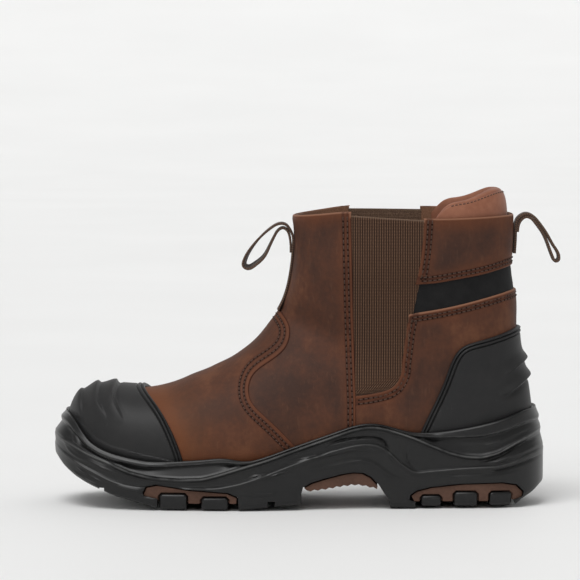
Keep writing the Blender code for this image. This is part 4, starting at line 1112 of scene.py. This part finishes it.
# Midsole: the black sole, moulded straight on to the upper. Its side is stepped by a lower edge, a main
# crest that sweeps from the toe up over the arch, and a lip round the top, with fine ribs in the waist.
TOE_X = -160.4
HEEL_X = 148.2
Plan = namedtuple("Plan", "x centre lateral medial")
SOLE_PLAN = [
    Plan(TOE_X, 7.0, 57.0, 51.0), Plan(-95.0, 4.0, 56.5, 51.2), Plan(-70.0, 3.0, 58.6, 53.2),
    Plan(-40.0, 2.0, 58.4, 51.2), Plan(0.0, 1.0, 52.0, 44.6), Plan(40.0, 0.0, 45.2, 39.6),
    Plan(80.0, 0.0, 42.4, 40.4), Plan(110.0, 0.0, 41.6, 40.8), Plan(HEEL_X, 0.0, 41.0, 40.6)]
TOE_END = (-95.0, TOE_X, 2.35)
HEEL_END = (104.0, HEEL_X, 2.3)
Side = namedtuple("Side", "x floor step crest lip rim crest_inset rim_inset")
SOLE_SIDE = [
    Side(TOE_X, 33.0, 38.6, 44.4, 53.6, 58.6, 0.0, 7.0), Side(-155.0, 26.0, 34.6, 42.0, 52.6, 57.4, 0.0, 6.0),
    Side(-147.0, 19.8, 29.8, 38.6, 45.6, 49.4, 0.0, 4.0),
    Side(-139.0, 15.6, 25.4, 34.6, 38.2, 41.4, 0.0, 3.0),
    Side(-131.0, 12.4, 22.0, 31.4, 34.2, 37.2, 0.0, 2.5), Side(-123.0, 9.0, 18.4, 28.6, 31.6, 34.6, 0.0, 2.1),
    Side(-112.0, 6.2, 15.4, 24.0, 29.4, 32.2, 0.0, 1.6), Side(-101.0, 3.2, 14.2, 21.4, 27.6, 30.4, 0.0, 1.6),
    Side(-92.0, 0.4, 13.9, 20.2, 27.6, 30.2, 0.0, 1.6), Side(-80.0, 0.0, 13.8, 19.6, 28.4, 30.8, 0.0, 1.6),
    Side(-66.0, 0.0, 14.2, 20.2, 29.6, 31.8, 0.0, 1.6), Side(-56.0, 0.0, 14.6, 22.8, 30.8, 32.8, 0.0, 1.6),
    Side(-49.0, 0.0, 16.0, 25.0, 30.6, 32.4, 0.0, 1.6), Side(-43.0, 0.6, 17.2, 26.8, 29.6, 31.0, 0.0, 1.6),
    Side(-36.0, 1.2, 19.4, 28.9, 29.9, 30.9, 0.0, 1.5), Side(-31.0, 1.4, 21.0, 30.3, 31.3, 32.2, 0.0, 1.5),
    Side(-24.0, 1.8, 23.6, 32.5, 33.4, 34.3, 0.0, 1.5), Side(-9.0, 3.4, 29.2, 37.8, 38.7, 39.6, 0.0, 1.5),
    Side(13.0, 2.0, 36.6, 45.2, 46.1, 47.0, 0.0, 1.5), Side(27.0, 2.0, 40.0, 50.0, 50.9, 51.8, 0.0, 1.5),
    Side(35.0, 2.0, 41.0, 51.6, 52.5, 53.4, 0.0, 1.5), Side(42.0, 1.6, 40.4, 51.5, 52.4, 53.3, 0.0, 1.5),
    Side(48.0, 1.0, 37.6, 50.4, 51.3, 52.2, 0.0, 1.5), Side(58.0, 0.8, 28.0, 47.2, 48.2, 49.2, 0.0, 1.5),
    Side(66.0, 0.0, 22.8, 44.4, 45.8, 47.4, 0.0, 1.6), Side(78.0, 0.0, 24.0, 39.2, 45.0, 47.6, 0.0, 1.6),
    Side(88.0, 0.0, 24.9, 35.2, 45.0, 48.6, 0.0, 1.6), Side(98.0, 0.0, 25.7, 32.8, 45.2, 50.2, 0.0, 1.6),
    Side(108.0, 0.0, 26.1, 32.4, 45.6, 52.2, 0.0, 1.8), Side(118.0, 0.0, 26.4, 34.8, 47.8, 54.4, 0.2, 2.0),
    Side(128.0, 0.4, 28.6, 40.0, 50.8, 57.2, 0.8, 3.0), Side(135.6, 6.2, 31.8, 43.8, 52.8, 59.4, 1.2, 3.8),
    Side(141.0, 8.8, 33.8, 46.2, 54.0, 60.6, 1.5, 4.4), Side(HEEL_X, 15.5, 36.0, 48.4, 54.6, 61.4, 1.8, 4.8)]
SIDE_LINES = ("floor", "step", "crest", "lip", "rim")
# Profile from the floor up: the line it follows, the height over it and the distance out
Level = namedtuple("Level", "line above out")
SOLE_LEVELS = [
    Level("floor", 0.0, -3.0), Level("floor", 0.5, -1.8), Level("floor", 1.4, -0.9),
    Level("floor", 3.0, -0.3),
    Level("step", -3.2, 0.0), Level("step", -1.4, 0.45), Level("step", -0.5, 0.80), Level("step", 0.0, 0.60),
    Level("step", 0.4, 0.0), Level("step", 1.0, -0.8), Level("step", 2.2, -1.0),
    Level("crest", -3.4, -1.0), Level("crest", -2.2, -0.6), Level("crest", -1.2, 0.3),
    Level("crest", -0.5, 0.85), Level("crest", 0.0, 0.75), Level("crest", 0.4, 0.1),
    Level("crest", 0.9, -0.9), Level("crest", 2.0, -1.6),
    Level("lip", -2.0, -1.7), Level("lip", -1.0, -1.2), Level("lip", -0.4, 0.1), Level("lip", 0.0, 0.75),
    Level("lip", 0.5, 1.0), Level("lip", 1.2, 0.9),
    Level("rim", -0.8, 0.3), Level("rim", 0.0, -0.5), Level("rim", 0.25, -1.4), Level("rim", 0.0, -2.8),
    Level("rim", -1.0, -7.0)]
# How far out the profile is on each line, and the share of the height to the next line it may take up
ON_LINE = {"floor": -3.0, "step": 0.60, "crest": 0.75, "lip": 0.75, "rim": -0.5}
LEVEL_SHARE = 0.48
# Painted highlight: the sole's colour is lightened in a band along the step, crest and lip. Each line has a
# strength, and the band has a half width
PAINTED_HIGHLIGHT_LINES = {"step": 0.3, "crest": 1.0, "lip": 0.7}
PAINTED_HIGHLIGHT_WIDTH = 0.5
SOLE_COLUMNS = 560
OUTLINE_STEPS = 6000
SOLE_ROWS = 96
END_CALM = 0.85
TABLE_X = np.arange(TOE_X, HEEL_X + 0.25, 0.5)


def softened(values, reach=9):
    """A moving average, run twice, that rounds the corners of a line through few points."""
    box = np.ones(reach) / reach
    for _ in range(2):
        values = np.convolve(np.pad(values, reach // 2, mode="edge"), box, mode="valid")
    return values


SIDE_TABLE = {
    name: softened(np.interp(TABLE_X, [row.x for row in SOLE_SIDE], column))
    for name, column in zip(Side._fields[1:], list(zip(*SOLE_SIDE))[1:])}


def side_line(name, x):
    return np.interp(x, TABLE_X, SIDE_TABLE[name])


def end_rounding(x, start, end, power):
    share = np.clip((x - start) / (end - start), 0, 1)
    return (1 - share**power) ** (1 / power)


def rounded_ends(x):
    """How much of its width the sole keeps towards the toe and the heel."""
    return end_rounding(x, *TOE_END) * end_rounding(x, *HEEL_END)


plan_at = spline([row.x for row in SOLE_PLAN], SOLE_PLAN)


def sole_loop(count):
    """Points round the sole's outline at even steps, and the way out at each."""
    turn = 2 * math.pi * np.arange(OUTLINE_STEPS) / OUTLINE_STEPS
    x = (TOE_X + HEEL_X) / 2 - (HEEL_X - TOE_X) / 2 * np.cos(turn)
    _, centre, lateral, medial = plan_at(x).T
    y = centre + np.where(turn < math.pi, medial, -lateral) * rounded_ends(x)
    loop = np.stack([x, y], axis=1)
    closed = np.vstack([loop, loop[:1]])
    run = run_along(closed)
    even = np.linspace(0, run[-1], count + 1)[:-1]
    loop = np.stack([np.interp(even, run, closed[:, k]) for k in (0, 1)], axis=1)
    ahead = np.roll(loop, -1, axis=0) - np.roll(loop, 1, axis=0)
    out = np.stack([-ahead[:, 1], ahead[:, 0]], axis=1)
    out /= np.linalg.norm(out, axis=1, keepdims=True)
    return loop, out


# Windows in the sole where the brown tread shows, and the fine ribs of its side, drawn in side view
WINDOWS = {
    "forefoot": [(-94.2, -8.0), (-94.2, 7.6), (-102.2, 9.2), (-103.4, 11.0), (-101.4, 15.0), (-95.0, 16.2),
                 (-75.0, 13.6), (-50.0, 11.6), (-44.0, 9.0), (-43.0, -8.0)],
    "arch": [(-5.0, -8.0), (-4.6, 11.0), (-3.6, 14.6), (1.5, 17.4), (10.5, 20.0), (20.5, 22.4), (28.5, 23.4),
             (34.0, 23.0), (39.0, 20.4), (43.6, 15.4), (47.0, 10.0), (50.4, 5.0), (51.4, -8.0)],
    "heel": [(66.6, -8.0), (66.4, 4.4), (62.6, 5.8), (63.2, 9.0), (67.0, 11.6), (76.0, 13.8), (95.0, 15.8),
             (121.0, 16.4), (130.0, 14.8), (134.6, 10.0), (133.6, 6.8), (129.0, 5.4), (128.6, -8.0)],
}
Rib = namedtuple("Rib", "points height width")
RIBS = [
    Rib([(10.0, 39.4), (18.0, 42.6), (28.0, 44.4), (40.0, 44.6), (46.8, 42.6), (49.4, 36.5), (54.7, 27.9)],
        -1.3, 0.9),
    Rib([(-13.0, 31.4), (5.7, 33.4), (22.4, 36.6), (36.0, 37.6), (43.0, 36.0)],
        0.9, 0.9),
    Rib([(-0.8, 25.3), (18.7, 29.0), (33.6, 30.5), (41.4, 28.0), (48.9, 22.3), (56.4, 19.3), (60.2, 18.5)],
        1.0, 0.9),
    Rib([(58.6, 40.5), (60.4, 36.0), (61.4, 31.4), (64.0, 27.8), (68.0, 25.4)], -1.2, 0.9),
    Rib([(-37.8, 19.7), (-31.6, 22.4), (-27.2, 21.6), (-18.6, 23.4), (-10.0, 25.0)], 0.9, 0.7),
    Rib([(-42.0, 11.2), (-30.0, 10.4), (-18.0, 12.0)], 0.6, 0.7),
    Rib([(-153.7, 43.0), (-151.3, 36.8), (-145.7, 32.4), (-136.3, 29.3), (-127.0, 25.5), (-117.7, 22.4)],
        0.6, 0.8),
    Rib([(-145.0, 26.0), (-137.0, 21.4), (-128.0, 17.0)], 0.9, 0.7),
    Rib([(-148.0, 23.0), (-139.0, 18.4), (-130.0, 14.0)], 0.8, 0.7),
    Rib([(-121.0, 16.4), (-112.0, 14.0), (-102.0, 12.8)], 1.0, 0.7),
    Rib([(92.0, 40.2), (108.0, 39.6), (121.0, 42.6), (134.0, 47.6), (147.0, 51.6)], 0.6, 1.0),
    Rib([(78.0, 20.6), (100.0, 21.4), (122.0, 22.6), (136.0, 26.0)], -0.6, 0.7),
    Rib([(-155.0, 50.0), (-149.0, 40.6), (-137.5, 33.4), (-129.0, 30.0), (-121.0, 27.0)], -2.2, 1.6),
    Rib([(104.0, 29.0), (115.0, 31.6), (130.0, 37.4), (147.0, 44.0)], -1.3, 1.1),
    Rib([(112.0, 28.4), (121.0, 30.0), (135.0, 35.0), (147.6, 39.4)], 1.1, 1.0),
    Rib([(110.0, 22.8), (122.0, 24.4), (137.0, 28.8), (147.6, 32.0)], -1.2, 0.9),
]
RIB_TAPER = 0.18
# Cuts across and along the tread, from corner to corner
NOTCHES = [
    ((-25.6, -90, -8), (-21.2, 90, 6.0)), ((-130.6, -90, -8), (-127.4, 90, 13.6)),
    ((-150.0, -19.0, -8), (-100.0, -14.0, 11.0)), ((-150.0, 20.0, -8), (-100.0, 25.0, 11.0)),
    ((-46.0, -20.0, -8), (-2.0, -15.0, 5.0)), ((-46.0, 15.0, -8), (-2.0, 20.0, 5.0)),
    ((50.0, -2.5, -8), (66.0, 2.5, 5.0))]
# The hollow for the upper: the face of what lies on the last along the foot, and how far it is pressed in
CUP_X = [-73.0, -66.0, 14.0, 20.0, 36.0, 48.0]
CUP_FACE = [CAP_FACE, VAMP_FACE, VAMP_FACE, FRONT_FACE, FRONT_FACE, COUNTER_FACE]
CUP_PRESS = -0.35


def prism(outline, low=-90.0, high=90.0):
    """A side-view outline drawn out across the boot, as a cutter."""
    count = len(outline)
    points = [(x, y, z) for y in (low, high) for x, z in outline]
    faces = [tuple(range(count)), tuple(range(2 * count - 1, count - 1, -1))]
    return solid("cutter", points, faces + tube_faces(2, count))


def combine(piece, operation, cutter):
    apply(piece, "BOOLEAN", operation=operation, object=cutter, solver="MANIFOLD")
    bpy.data.objects.remove(cutter)
    return piece


loop, out = sole_loop(SOLE_COLUMNS)
x = loop[:, 0]
lines = {name: side_line(name, x) for name in SIDE_LINES}
ends = np.abs(out[:, 0]) ** 2
insets = {"floor": 0.0, "step": 0.0, "crest": side_line("crest_inset", x), "rim": side_line("rim_inset", x)}
insets["lip"] = insets["rim"] * (1 - 0.4 * ends)
heights, outs = [], []
for level in SOLE_LEVELS:
    order = SIDE_LINES.index(level.line)
    own = lines[level.line]
    shrink = np.ones(len(x))
    if level.above > 0 and level.line != "rim":
        room = lines[SIDE_LINES[order + 1]] - own
        shrink = np.minimum(1, LEVEL_SHARE * room / level.above)
    if level.above < 0 and level is not SOLE_LEVELS[-1]:
        room = own - lines[SIDE_LINES[order - 1]]
        shrink = np.minimum(1, LEVEL_SHARE * room / -level.above)
    heights.append(own + level.above * shrink)
    reach = ON_LINE[level.line] + (level.out - ON_LINE[level.line]) * shrink
    outs.append(reach * (1 - END_CALM * ends) - insets[level.line])
heights, outs = np.array(heights), np.array(outs)
steps = np.hypot(np.diff(heights, axis=0), np.diff(outs, axis=0)).mean(axis=1)
run = np.concatenate([[0], np.cumsum(steps)])
even = np.linspace(0, run[-1], SOLE_ROWS)
even = np.sort(np.concatenate([even, run[1:-1]]))
height = np.stack([np.interp(even, run, heights[:, j]) for j in range(len(x))])
reach = np.stack([np.interp(even, run, outs[:, j]) for j in range(len(x))])
flat_x, flat_z = np.repeat(x, len(even)), height.ravel()
extra = np.zeros(len(flat_x))
for rib in RIBS:
    away, share = Line(rib.points, 1, 30).nearest(flat_x, flat_z)
    tapered = np.clip(np.minimum(share, 1 - share) / RIB_TAPER, 0, 1)
    extra += rib.height * np.exp(-((away / rib.width) ** 2)) * tapered
for roof in WINDOWS.values():
    extra += rolled(np.abs(Line(roof, 1).gap(flat_x, flat_z)), 1.6, 1.1)
reach += extra.reshape(reach.shape) * (1 - 0.6 * ends)[:, None]
rows = len(even)
points = np.concatenate([
    loop[:, None, :] + out[:, None, :] * reach[:, :, None], height[:, :, None]], axis=2)
faces = []
for i in range(SOLE_COLUMNS):
    k = (i + 1) % SOLE_COLUMNS
    for j in range(rows - 1):
        faces.append((i * rows + j, k * rows + j, k * rows + j + 1, i * rows + j + 1))
half = SOLE_COLUMNS // 2
for j in (0, rows - 1):
    faces.append((j, rows + j, (SOLE_COLUMNS - 1) * rows + j))
    for i in range(1, half - 1):
        a, b = SOLE_COLUMNS - i, SOLE_COLUMNS - i - 1
        faces.append((i * rows + j, (i + 1) * rows + j, b * rows + j, a * rows + j))
    faces.append(((half - 1) * rows + j, half * rows + j, (half + 1) * rows + j))
sole = solid("moulded_sole", points.reshape(-1, 3), faces)
for roof in WINDOWS.values():
    combine(sole, "DIFFERENCE", prism(roof))
for low, high in NOTCHES:
    box = [(low[0], low[2]), (high[0], low[2]), (high[0], high[2]), (low[0], high[2])]
    combine(sole, "DIFFERENCE", prism(box, low[1], high[1]))
form = Sheet((0.0, 2.2), (0.0, 2 * math.pi), 3.0)
stations = np.unique(form.spots[:, 0])
angles = np.unique(form.spots[:, 1])[:-1]
grid = np.column_stack([np.repeat(stations[1:], len(angles)), np.tile(angles, len(stations) - 1)])
bare = on_last(*grid.T)
bare += facing(*grid.T) * (np.interp(bare[:, 0], CUP_X, CUP_FACE) + CUP_PRESS)[:, None]
tip = np.array([[LAST_TOE[0] - CAP_FACE - CUP_PRESS, SECTIONS[0].centre, LAST_TOE[1]]])
count = len(angles)
faces = [(0, 1 + j, 1 + (j + 1) % count) for j in range(count)]
for i in range(len(stations) - 2):
    start = 1 + i * count
    faces += [(start + j, start + count + j, start + count + (j + 1) % count, start + (j + 1) % count)
              for j in range(count)]
faces.append(tuple(range(len(bare) + 1 - count, len(bare) + 1)))
cup = solid("cup", np.vstack([tip, bare]), faces)
over_bed = [(x, footbed(x) - 0.3) for x in FOOT_X] + [(FOOT_X[-1], 220), (FOOT_X[0], 220)]
combine(cup, "INTERSECT", prism(over_bed))
combine(sole, "DIFFERENCE", cup)
smooth(sole, 38)
corners = np.zeros(len(sole.data.vertices) * 3, np.float32)
sole.data.vertices.foreach_get("co", corners)
corners = corners.reshape(-1, 3) / MM
# Lightens the sole's colour along those lines, as a painted highlight on the edges that catch the light
worn = np.zeros(len(corners))
for name, strength in PAINTED_HIGHLIGHT_LINES.items():
    away = corners[:, 2] - side_line(name, corners[:, 0]) + 0.1
    worn = np.maximum(worn, strength * np.exp(-((away / PAINTED_HIGHLIGHT_WIDTH) ** 2)))
mark(sole.data, "worn", worn)
rubber, place = new_material("black_sole", specular_ior_level=0.36)
stipple = place.noise(2100, 2)
cast = place.noise(30, 3) * 0.6 + place.noise(240, 4) * 0.4
black = cast.ramp((0.3, (0.0044, 0.0044, 0.0048)), (0.7, (0.0084, 0.0082, 0.0080)))
# The painted highlight, broken up by the mottle of the cast
painted_highlight_share = place.attribute("worn") * cast.fade(0.25, 0.65)
paint(
    rubber, base_color=black.tint(painted_highlight_share * 0.75, (0.135, 0.135, 0.133)),
    roughness=0.24 + 0.14 * cast + 0.08 * stipple, normal=stipple.bump(0.15, 0.15))
fit(sole, rubber, "sole", "midsole")

# Tread plates: brown rubber let into the windows of the sole, standing back a little from its side. The
# arch plate's lower edge is cut into small teeth.
PLATE_COLUMNS = 300
PLATE_INSET = 1.8
PLATE_GAP = 0.8
PLATE_UNDER = {
    "forefoot": [(-95.0, 6.6), (-92.0, 4.8), (-44.2, 4.8)],
    "arch": [(-3.4, 11.4), (9.4, 12.6), (19.3, 14.2), (28.0, 15.2), (33.0, 14.8), (43.0, 12.4)],
    "heel": [(65.8, 4.8), (120.0, 4.8), (130.0, 5.4)],
}
CORE_INSET = 9.0
CORE_RISE = 0.9
TOOTH_PITCH = 4.6
TOOTH = 0.9


def outline_solid(name, inset, low, high):
    """The sole's outline drawn in by inset and drawn up from low to high."""
    count = PLATE_COLUMNS
    loop, out = sole_loop(count)
    loop = loop - out * inset
    points = np.vstack([np.column_stack([loop, np.full(count, z)]) for z in (low, high)])
    faces = [tuple(range(count)), tuple(range(2 * count - 1, count - 1, -1))]
    return solid(name, points, faces + tube_faces(2, count))


brown, place = new_material("brown_tread", specular_ior_level=0.2)
cast = place.noise(60, 4) * 0.6 + place.noise(700, 3) * 0.4
paint(
    brown, base_color=cast.ramp((0.3, (0.066, 0.034, 0.023)), (0.7, (0.110, 0.058, 0.040))),
    roughness=0.58 + 0.2 * cast, normal=cast.bump(0.3, 0.25))
plates = {}
for name, roof in WINDOWS.items():
    middle = sum(px for px, _ in roof) / len(roof)
    over = [(px, pz) for px, pz in roof if pz > np.interp(px, *np.transpose(PLATE_UNDER[name])) + 1.2]
    inside = [(px + PLATE_GAP * np.sign(middle - px), pz - PLATE_GAP) for px, pz in over]
    low_x = np.arange(inside[-1][0] - 0.3, inside[0][0], -TOOTH_PITCH / 2)
    low_z = np.interp(low_x, *np.transpose(PLATE_UNDER[name]))
    teeth = TOOTH * (np.arange(len(low_x)) % 2) if name == "arch" else np.zeros(len(low_x))
    under = list(zip(low_x, low_z + teeth))
    plate = outline_solid("brown_" + name, PLATE_INSET, -6.0, 30.0)
    combine(plate, "INTERSECT", prism(inside + under))
    core = outline_solid("core", CORE_INSET, -6.0, 30.0)
    combine(core, "INTERSECT", prism(over + [(px, pz + CORE_RISE) for px, pz in under[1:-1]]))
    plates[name] = plate, core

# Tread blocks: black rubber studs of the outsole, moulded with the sole and showing in front of the brown
# plates along each edge, with smaller ones down the middle.
Lug = namedtuple("Lug", "name start end top edge reach")
LUGS = [
    Lug("forefoot_1", -93.0, -75.6, 10.6, 1, 27.0), Lug("forefoot_2", -66.8, -50.0, 8.6, 1, 27.0),
    Lug("heel_1", 69.8, 82.6, 8.4, 1, 22.0), Lug("heel_2", 90.4, 105.2, 10.6, 1, 23.0),
    Lug("heel_3", 112.6, 126.6, 10.4, 1, 22.0), Lug("forefoot_mid_1", -99.0, -84.0, 9.6, 0, 17.0),
    Lug("forefoot_mid_2", -78.0, -62.0, 8.0, 0, 18.0), Lug("forefoot_mid_3", -57.0, -47.0, 7.4, 0, 17.0),
    Lug("heel_mid_1", 78.0, 92.0, 8.0, 0, 12.0), Lug("heel_mid_2", 100.0, 114.0, 8.0, 0, 12.0)]
LUG_ROUND = 2.2
LUG_DRAFT = 1.4
LUG_LIFT = {"forefoot": 0.8, "heel": 1.8}
LUG_GAP = 0.9
POCKET_DEPTH = 6.0


def edge_at(x, side):
    """How far out the sole's edge is on the outer (-1) or inner (1) side."""
    _, centre, lateral, medial = plan_at(x)[0]
    return centre + (medial if side > 0 else -lateral) * float(rounded_ends(x))


for lug in LUGS:
    middle = (lug.start + lug.end) / 2
    area = lug.name.split("_")[0]
    for side, word in ((-1, "_lateral"), (1, "_medial")) if lug.edge else ((0, ""),):
        if side:
            far = [edge_at(x, side) - side * 0.3 for x in (lug.start, lug.end)]
            near = [edge_at(middle, side) - side * lug.reach] * 2
        else:
            centre = plan_at(middle)[0][1]
            far, near = [centre + lug.reach / 2] * 2, [centre - lug.reach / 2] * 2
        bpy.ops.object.select_all(action="DESELECT")
        bpy.ops.mesh.primitive_cube_add(size=1.0)
        stud = bpy.context.object
        stud.name = "stud_" + lug.name + word
        for corner in stud.data.vertices:
            last, outer, high = corner.co.x > 0, corner.co.y > 0, corner.co.z > 0
            y = (far if outer else near)[int(last)]
            y -= side * LUG_DRAFT if outer and not high else 0.0
            lift = LUG_LIFT[area] if side and outer else 0.0
            corner.co = (lug.end if last else lug.start) * MM, y * MM, (lug.top if high else lift) * MM
        weld(stud, 1e-7, turn_out=True)
        apply(stud, "BEVEL", width=LUG_ROUND * MM, segments=4, limit_method="NONE")
        smooth(stud, 40)
        fit(stud, rubber, "sole", "lug_" + lug.name + word)
        if side:
            start, end, top = lug.start - LUG_GAP, lug.end + LUG_GAP, lug.top + LUG_GAP
            pocket = [(start, -8), (end, -8), (end, top - LUG_ROUND), (end - LUG_ROUND, top),
                      (start + LUG_ROUND, top), (start, top - LUG_ROUND)]
            inmost = edge_at(middle, side) - side * POCKET_DEPTH
            combine(plates[area][0], "DIFFERENCE", prism(pocket, *sorted((inmost, side * 80.0))))
for name, (plate, core) in plates.items():
    apply(plate, "BEVEL", width=0.5 * MM, segments=2, limit_method="ANGLE", angle_limit=math.radians(40))
    pick(plate)
    core.select_set(True)
    bpy.ops.object.join()
    smooth(plate, 40)
    fit(plate, brown, "tread", "tread_plate_" + name)

# Stage: a pale studio floor that sweeps up far behind, a wide soft box overhead and two soft fills, and the
# camera low on the outer side of the foot, as in the photo.
SWEEP = ((0.02, 1.12), (0.06, 1.14), (0.14, 1.16), (0.28, 1.14), (0.5, 1.12), (0.9, 1.10), (1.3, 1.07))
bpy.ops.mesh.primitive_circle_add(vertices=96, radius=5.0, fill_type="NGON")
floor = bpy.context.object
floor.name = "floor"
bpy.ops.object.mode_set(mode="EDIT")
for rise, grow in SWEEP:
    bpy.ops.mesh.extrude_edges_move(TRANSFORM_OT_translate={"value": (0, 0, rise)})
    bpy.ops.transform.resize(value=(grow, grow, 1))
bpy.ops.mesh.select_all(action="SELECT")
bpy.ops.object.mode_set(mode="OBJECT")
smooth(floor, 60)
paper, place = new_material("pale_floor", specular_ior_level=0.2)
paint(paper, base_color=place.noise(3, 2).ramp((0.3, (0.80, 0.80, 0.797)), (0.7, (0.82, 0.82, 0.817))),
      roughness=0.6 + 0.1 * place.noise(8, 2))
floor.data.materials.append(paper)

Lamp = namedtuple("Lamp", "name tilt turn spread power")
for lamp in (
    Lamp("soft_box", 24.0, -30.0, 34.0, 1.70),
    Lamp("front_fill", 60.0, -22.0, 40.0, 0.46),
    Lamp("back_fill", 55.0, 150.0, 50.0, 0.30),
):
    bpy.ops.object.light_add(type="SUN", rotation=(math.radians(lamp.tilt), 0, math.radians(lamp.turn)))
    light = bpy.context.object
    light.name = lamp.name
    light.data.angle = math.radians(lamp.spread)
    light.data.energy = lamp.power
world = bpy.data.worlds.new("studio")
bpy.context.scene.world = world
world.use_nodes = True
world.node_tree.nodes["Background"].inputs["Color"].default_value = (1.0, 1.0, 0.99, 1)
world.node_tree.nodes["Background"].inputs["Strength"].default_value = 0.43
bpy.context.scene.view_settings.view_transform = "Standard"

PHOTO_SIDE = 580
PHOTO_SCALE = 0.631
CAMERA_AWAY = 2600.0
CAMERA_RISE = math.radians(3.8)
CAMERA_AIM = (-11.7, 0.0, 134.0)
SENSOR = 36.0
bpy.ops.object.camera_add(
    location=(CAMERA_AIM[0] * MM, -CAMERA_AWAY * math.cos(CAMERA_RISE) * MM,
              (CAMERA_AIM[2] + CAMERA_AWAY * math.sin(CAMERA_RISE)) * MM),
    rotation=(math.pi / 2 - CAMERA_RISE, 0, 0))
camera = bpy.context.object
camera.data.sensor_width = SENSOR
camera.data.lens = SENSOR * CAMERA_AWAY / (PHOTO_SIDE * PHOTO_SCALE)
bpy.context.scene.camera = camera
